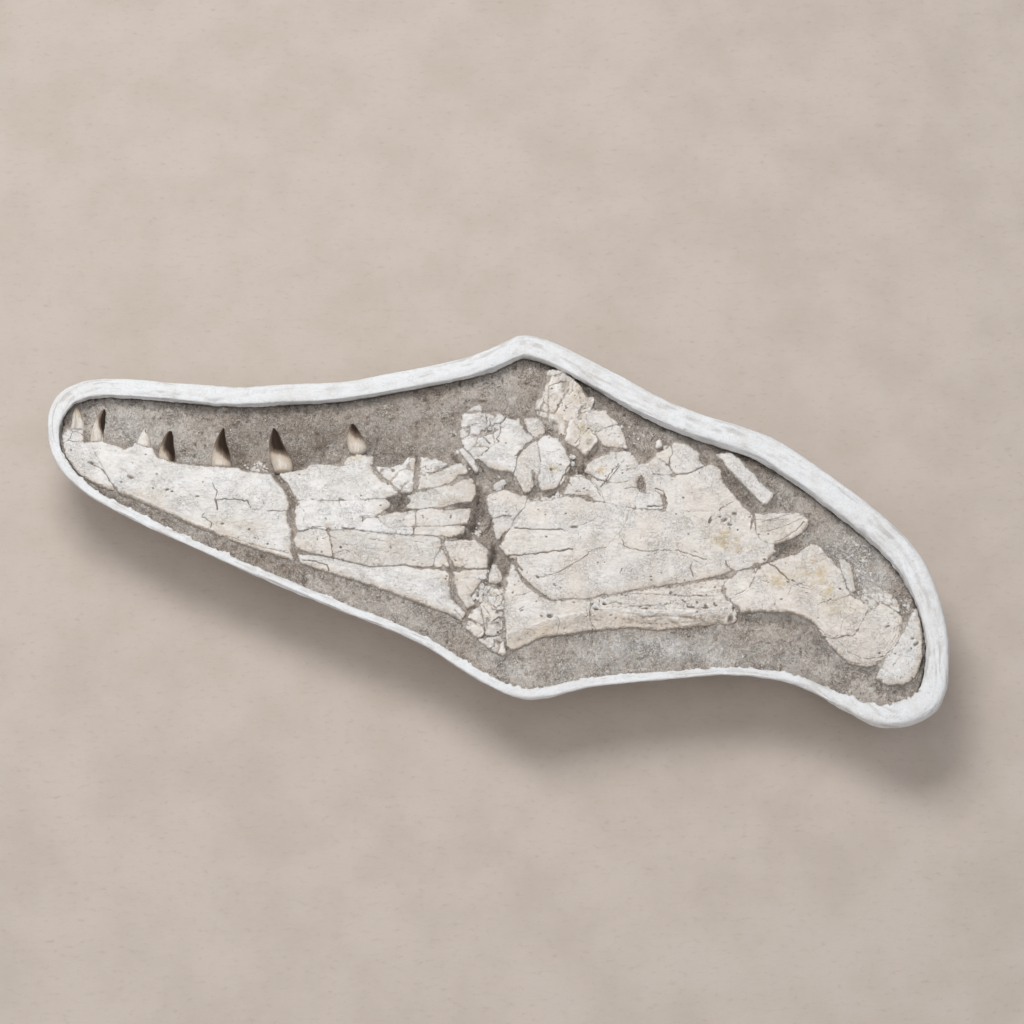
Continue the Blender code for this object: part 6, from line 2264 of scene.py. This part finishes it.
        brushed = smoothstep(0.22, 0.70, lattice_noise(wandering, (26.0, 26.0, 2.5), self.seed + 13))
        brushed += 0.7 * smoothstep(0.30, 0.75, lattice_noise(wandering, (14.0, 14.0, 1.8), self.seed + 14))
        brushed *= smoothstep(-0.50, 0.25, cloud(flat, 30.0, self.seed + 15, 2))
        brushed = brushed.reshape(grid_s.shape)
        calm = bump(turn, -0.30, -0.05, 1.05, 1.20)
        detail = line * soft_line + 0.8 * fold + 0.4 * dabs - 0.35 * brushed
        shape = swell - 0.7 + detail * calm - 1.4 * holes
        place_on_rim = np.column_stack([strands[:, 0], strands[:, 1]])
        torn = 2.3 * lattice_noise(place_on_rim, 6.5, self.seed + 7)
        torn += 1.5 * lattice_noise(place_on_rim, 2.8, self.seed + 8)
        torn += 1.8 * smoothstep(0.45, 0.8, lattice_noise(place_on_rim, 11.0, self.seed + 9))
        torn = torn.reshape(grid_s.shape)
        lip_at = math.pi * (1.03 - 0.23 * near_side[:, None])
        lip = np.exp(-((grid_t - lip_at) / 0.34) ** 2)
        ragged = lip * (0.25 + 0.85 * near_side[:, None]) * (torn - 0.5)
        under = smoothstep(math.pi * 1.06, math.pi * 1.22, grid_t)
        normal = grid_normals(base)
        points = base + normal * shape[..., None]
        points[..., :2] -= out[:, None, :] * ragged[..., None]
        points[..., :2] += out[:, None, :] * (1.6 * under * near_side[:, None])[..., None]
        number = len(s) * len(turn)
        index = np.arange(number).reshape(len(s), len(turn))
        onward = np.roll(index, -1, axis=0)
        quads = np.stack([index, onward, np.roll(onward, -1, axis=1), np.roll(index, -1, axis=1)], axis=-1)
        fine = fine_part(shape, "wrap")
        inner_side = bump(grid_t, 0.98, 1.08, 1.25, 1.40)
        # relief sends painted shade into the rim's lows; edge paints shade on its inner side and underside,
        # less on the torn lip
        marks = {
            Mark.RELIEF: (0.5 + 0.8 * calm * np.clip(fine, -0.6, 0.6)).ravel(),
            Mark.EDGE: np.clip(0.62 * inner_side - 0.25 * lip * (torn > 0.6), 0.0, 1.0).ravel(),
            Mark.CRACK: np.clip(brushed * calm, 0.0, 1.0).ravel(),
        }
        piece = fill_mesh("jacket_rim", points.reshape(-1, 3), quads.reshape(-1, 4), [], marks)
        piece.data.materials.append(finish)
        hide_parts(self.node)
        return piece

    def build_hull(self, finish: bpy.types.Material) -> bpy.types.Object:
        """The hull: bandages laid side by side round the underside, each lapping over the last.

        Down the hull, a point lies on a smooth curve through the solid's rings. A bandage's
        edge stands up by nearly a millimetre and its back thins out to nothing, so the height
        along the rim is a row of shallow teeth whose edges wander. The lining inside is the
        same curve moved in by the wall.

        Args:
            finish: the plastered gauze.

        Returns:
            The finished object.
        """
        s, rows = self.stations(self.hull_stations)
        outer, inner = rows[:, 0:2], rows[:, 2:4]
        wall = np.linalg.norm(outer - inner, axis=1)
        out = (outer - inner) / wall[:, None]
        levels = np.array([*HULL_LEVELS, GIRTH_LEVEL])
        loops = np.stack([rows[:, 4 + 2 * k:6 + 2 * k] for k in range(len(HULL_LEVELS))] + [outer], axis=1)
        share = np.linspace(0.0, 1.0, self.hull_depths) ** 0.9
        heights = share * (GIRTH_LEVEL - 3.0)
        slot = np.clip(np.searchsorted(levels, heights, side="right") - 1, 0, len(levels) - 2)
        t = ((heights - levels[slot]) / (levels[slot + 1] - levels[slot]))[None, :, None]
        low, high = loops[:, slot], loops[:, slot + 1]
        before = loops[:, np.maximum(slot - 1, 0)]
        beyond = loops[:, np.minimum(slot + 2, len(levels) - 1)]
        at = 0.5 * (2 * low + (high - before) * t + (2 * before - 5 * low + 4 * high - beyond) * t ** 2
                    + (3 * low - before - 3 * high + beyond) * t ** 3)
        base = np.dstack([at, np.broadcast_to(heights, at.shape[:2])])
        flat = base.reshape(-1, 3)
        shape2 = base.shape[:2]
        steps = np.linalg.norm(np.diff(base, axis=1), axis=2)
        down = np.concatenate([np.zeros((len(s), 1)), np.cumsum(steps, axis=1)], axis=1)
        down = down[:, -1:] - down
        grid_s = np.repeat(s[:, None], shape2[1], axis=1)
        bands = round(self.length / 92.0)
        drift = 7.0 * cloud(flat, 70.0, self.seed + 20, 3).reshape(shape2) + 0.22 * down
        phase = (grid_s + drift) * bands / self.length
        within = phase - np.floor(phase)
        lap = smoothstep(0.0, 0.028, within) * (1.0 - within)
        collar_edge = down - 52.0 - 5.0 * cloud(flat, 60.0, self.seed + 21, 3).reshape(shape2)
        collar = smoothstep(1.4, -1.4, collar_edge)
        creases = streaks(np.column_stack([grid_s.ravel(), down.ravel()]), 78.0, 34.0, 3.4, self.seed + 22)
        folded = smoothstep(0.1, 0.6, cloud(flat, 75.0, self.seed + 23, 2))
        swell = 1.5 * cloud(flat, 85.0, self.seed + 24, 3) + 0.4 * cloud(flat, 16.0, self.seed + 25, 3)
        pits = smoothstep(0.72, 0.92, lattice_noise(flat, 7.0, self.seed + 26))
        shape = (swell + 0.35 * creases * folded - 0.9 * pits).reshape(shape2) + 1.1 * lap + 0.8 * collar
        settle = smoothstep(0.0, 3.5, heights)[None, :] * smoothstep(0.0, 9.0, down)
        shape = (shape - 1.6) * settle
        top_tuck = 8.5 * smoothstep(82.0, 20.0, down)
        normal = grid_normals(base)
        points = base + normal * shape[..., None]
        points[..., :2] -= out[:, None, :] * top_tuck[..., None]
        points[:, 0, 2] = 0.0
        lining = []
        for k in range(self.lining_depths):
            drop = k / (self.lining_depths - 1)
            column = int(round((1.0 - drop) * (self.hull_depths - 1) * 0.98))
            ring = base[:, column].copy()
            ring[:, :2] -= out * (wall * 0.62)[:, None]
            ring[:, 2] = GIRTH_LEVEL - 6.0 - (GIRTH_LEVEL - 16.0) * drop
            lining.append(ring)
        points = np.concatenate([points, np.stack(lining, axis=1)], axis=1)
        total = points.shape[1]
        index = np.arange(len(s) * total).reshape(len(s), total)
        after = np.roll(index, -1, axis=0)
        quads = np.stack([index[:, :-1], after[:, :-1], after[:, 1:], index[:, 1:]], axis=-1).reshape(-1, 4)
        caps = [index[::-1, 0], index[:, -1]]
        fine = fine_part(shape, "edge")
        padded = np.zeros((len(s), self.lining_depths))
        # darker towards the foot and in patches
        grey_foot_and_patches = smoothstep(16.0, 0.0, heights)[None, :] * 0.8 + 0.35 * smoothstep(0.1, 0.7, cloud(
            flat, 120.0, self.seed + 27, 3).reshape(shape2))
        # relief sends painted shade into the hull's lows
        marks = {
            Mark.RELIEF: np.hstack([0.5 + 0.5 * np.clip(fine, -0.8, 0.8), padded + 0.5]).ravel(),
            Mark.EDGE: np.hstack([np.broadcast_to(grey_foot_and_patches, shape2), padded]).ravel(),
        }
        along = np.append(s, self.length)
        deep = np.hstack([down, np.repeat(down[:, :1], self.lining_depths, axis=1)])
        deep = np.vstack([deep, deep[:1]])
        number = np.arange(len(s))
        corner = []
        for ds, dt in ((0, 0), (1, 0), (1, 1), (0, 1)):
            v = deep[number[:, None] + ds, np.arange(total - 1)[None, :] + dt]
            u = np.broadcast_to(along[number + ds][:, None], v.shape)
            corner.append(np.stack([u, v], axis=-1))
        uv = np.stack(corner, axis=2).reshape(-1, 2) * MM
        piece = fill_mesh("jacket_hull", points.reshape(-1, 3), quads, caps, marks, uv)
        piece.data.materials.append(finish)
        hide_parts(self.node)
        return piece


@dataclass(frozen=True)
class Light:
    """A soft square light: where it hangs, its size in metres, its power in watts and its colour."""

    name: str
    spot: tuple[float, float, float]
    size: float
    power: float
    colour: tuple[float, float, float]


@dataclass(frozen=True)
class Studio:
    """The floor, the camera at the picture's viewing angle and soft light from the upper left."""

    aim: tuple[float, float, float] = (0.025, 0.040, 0.100)
    elevation: float = 65.0
    distance: float = 4.2
    lens: float = 117.19
    floor_half: float = 6.0
    sensor: float = 36.0
    far_clip: float = 60.0
    key: Light = Light("key", (-0.8, 1.35, 3.6), 1.7, 88.0, (1.0, 0.993, 0.98))
    fill: Light = Light("fill", (-0.5, -1.6, 4.2), 3.0, 34.0, (0.985, 0.99, 1.0))
    sky: tuple[float, float, float, float] = (0.96, 0.97, 1.0, 1.0)
    sky_strength: float = 0.44

    def place_camera(self) -> None:
        """Aim the camera down at the jaw along the picture's line of sight."""
        camera = bpy.data.objects.new("camera", bpy.data.cameras.new("camera"))
        back = math.radians(self.elevation)
        camera.location = Vector(self.aim) + self.distance * Vector((0.0, -math.cos(back), math.sin(back)))
        camera.rotation_euler = (math.radians(90.0 - self.elevation), 0.0, 0.0)
        camera.data.lens = self.lens
        camera.data.sensor_width = self.sensor
        camera.data.clip_end = self.far_clip
        bpy.context.scene.collection.objects.link(camera)
        bpy.context.scene.camera = camera

    def hang(self, light: Light) -> None:
        """Place a light and turn it towards the jaw.

        Args:
            light: the light.
        """
        made = bpy.data.lights.new(light.name, "AREA")
        made.shape = "SQUARE"
        made.size = light.size
        made.energy = light.power
        made.color = light.colour
        lamp = bpy.data.objects.new(light.name, made)
        lamp.location = light.spot
        lamp.rotation_euler = (Vector(light.spot) - Vector(self.aim)).to_track_quat("Z", "Y").to_euler()
        bpy.context.scene.collection.objects.link(lamp)

    def build(self, finish: bpy.types.Material) -> None:
        """Lay the floor, hang the lights and place the camera.

        Args:
            finish: the floor's finish.
        """
        half = self.floor_half / MM
        corners = np.array([(-half, -half, 0.0), (half, -half, 0.0), (half, half, 0.0), (-half, half, 0.0)])
        mesh = bpy.data.meshes.new("floor")
        mesh.from_pydata((corners * MM).tolist(), [], [(0, 1, 2, 3)])
        mesh.materials.append(finish)
        floor = bpy.data.objects.new("floor", mesh)
        bpy.context.scene.collection.objects.link(floor)
        self.hang(self.key)
        self.hang(self.fill)
        world = bpy.data.worlds.new("studio")
        world.use_nodes = True
        back = world.node_tree.nodes["Background"]
        back.inputs["Color"].default_value = self.sky
        back.inputs["Strength"].default_value = self.sky_strength
        bpy.context.scene.world = world
        bpy.context.scene.view_settings.view_transform = "Standard"
        self.place_camera()


def all_finishes() -> dict[str, bpy.types.Material]:
    """Every finish of the object, by name.

    Returns:
        The materials, each by its finish's name.
    """
    finishes = (
        PlasterFinish(),
        GauzeFinish(),
        RockFinish(),
        BoneFinish(),
        BoneFinish("white_bone", cream=tone(0.942, 0.933, 0.924),
                   warm=tone(0.912, 0.896, 0.875), greyness=0.09),
        BoneFinish("warm_bone", cream=tone(0.928, 0.90, 0.868),
                   warm=tone(0.895, 0.857, 0.815), greyness=0.12),
        BoneFinish("grey_bone", cream=tone(0.89, 0.875, 0.85),
                   warm=tone(0.85, 0.82, 0.785), greyness=0.28),
        EnamelFinish(),
    )
    return {finish.name: finish.build() for finish in finishes}


def report(piece: bpy.types.Object) -> None:
    """Say how many faces a finished piece has."""
    LOG.info("%s has %d faces", piece.name, len(piece.data.polygons))


def main() -> None:
    """Build the stage, the bones, the rock and the jacket, and report each."""
    logging.basicConfig(level=logging.INFO, format="%(name)s: %(message)s")
    Studio().build(FloorFinish().build())
    finishes = all_finishes()
    jacket = Jacket()
    pocket = jacket.pocket()
    site = Site(pocket)
    bones = []
    for number, node in enumerate(sorted(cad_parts)):
        if node in ("plaster_jacket", "rock_matrix"):
            continue
        teeth = tuple(tooth for tooth in TEETH if tooth.owner == node)
        bone = BonePiece(node, wear_of(node), 1000 + 50 * number, teeth)
        fall, _ = bone.turned_down(bone.crown.places())
        site.add(bone.outline, bone.crown, bone.crown_height - fall.reshape(bone.crown.shape))
        bones.append(bone)
    for bone in bones:
        bone.break_edges(site)
        report(bone.build(finishes[bone.wear.finish]))
    for tooth in TEETH:
        report(tooth.build(finishes["tooth"]))
    rock = RockBed(site, pocket)
    report(rock.build(finishes["rock_matrix"]))
    report(BoneChips(site, rock.height).build(finishes["white_bone"]))
    report(jacket.build_rim(finishes["plaster"]))
    report(jacket.build_hull(finishes["plaster_gauze"]))


if __name__ == "__main__":
    main()
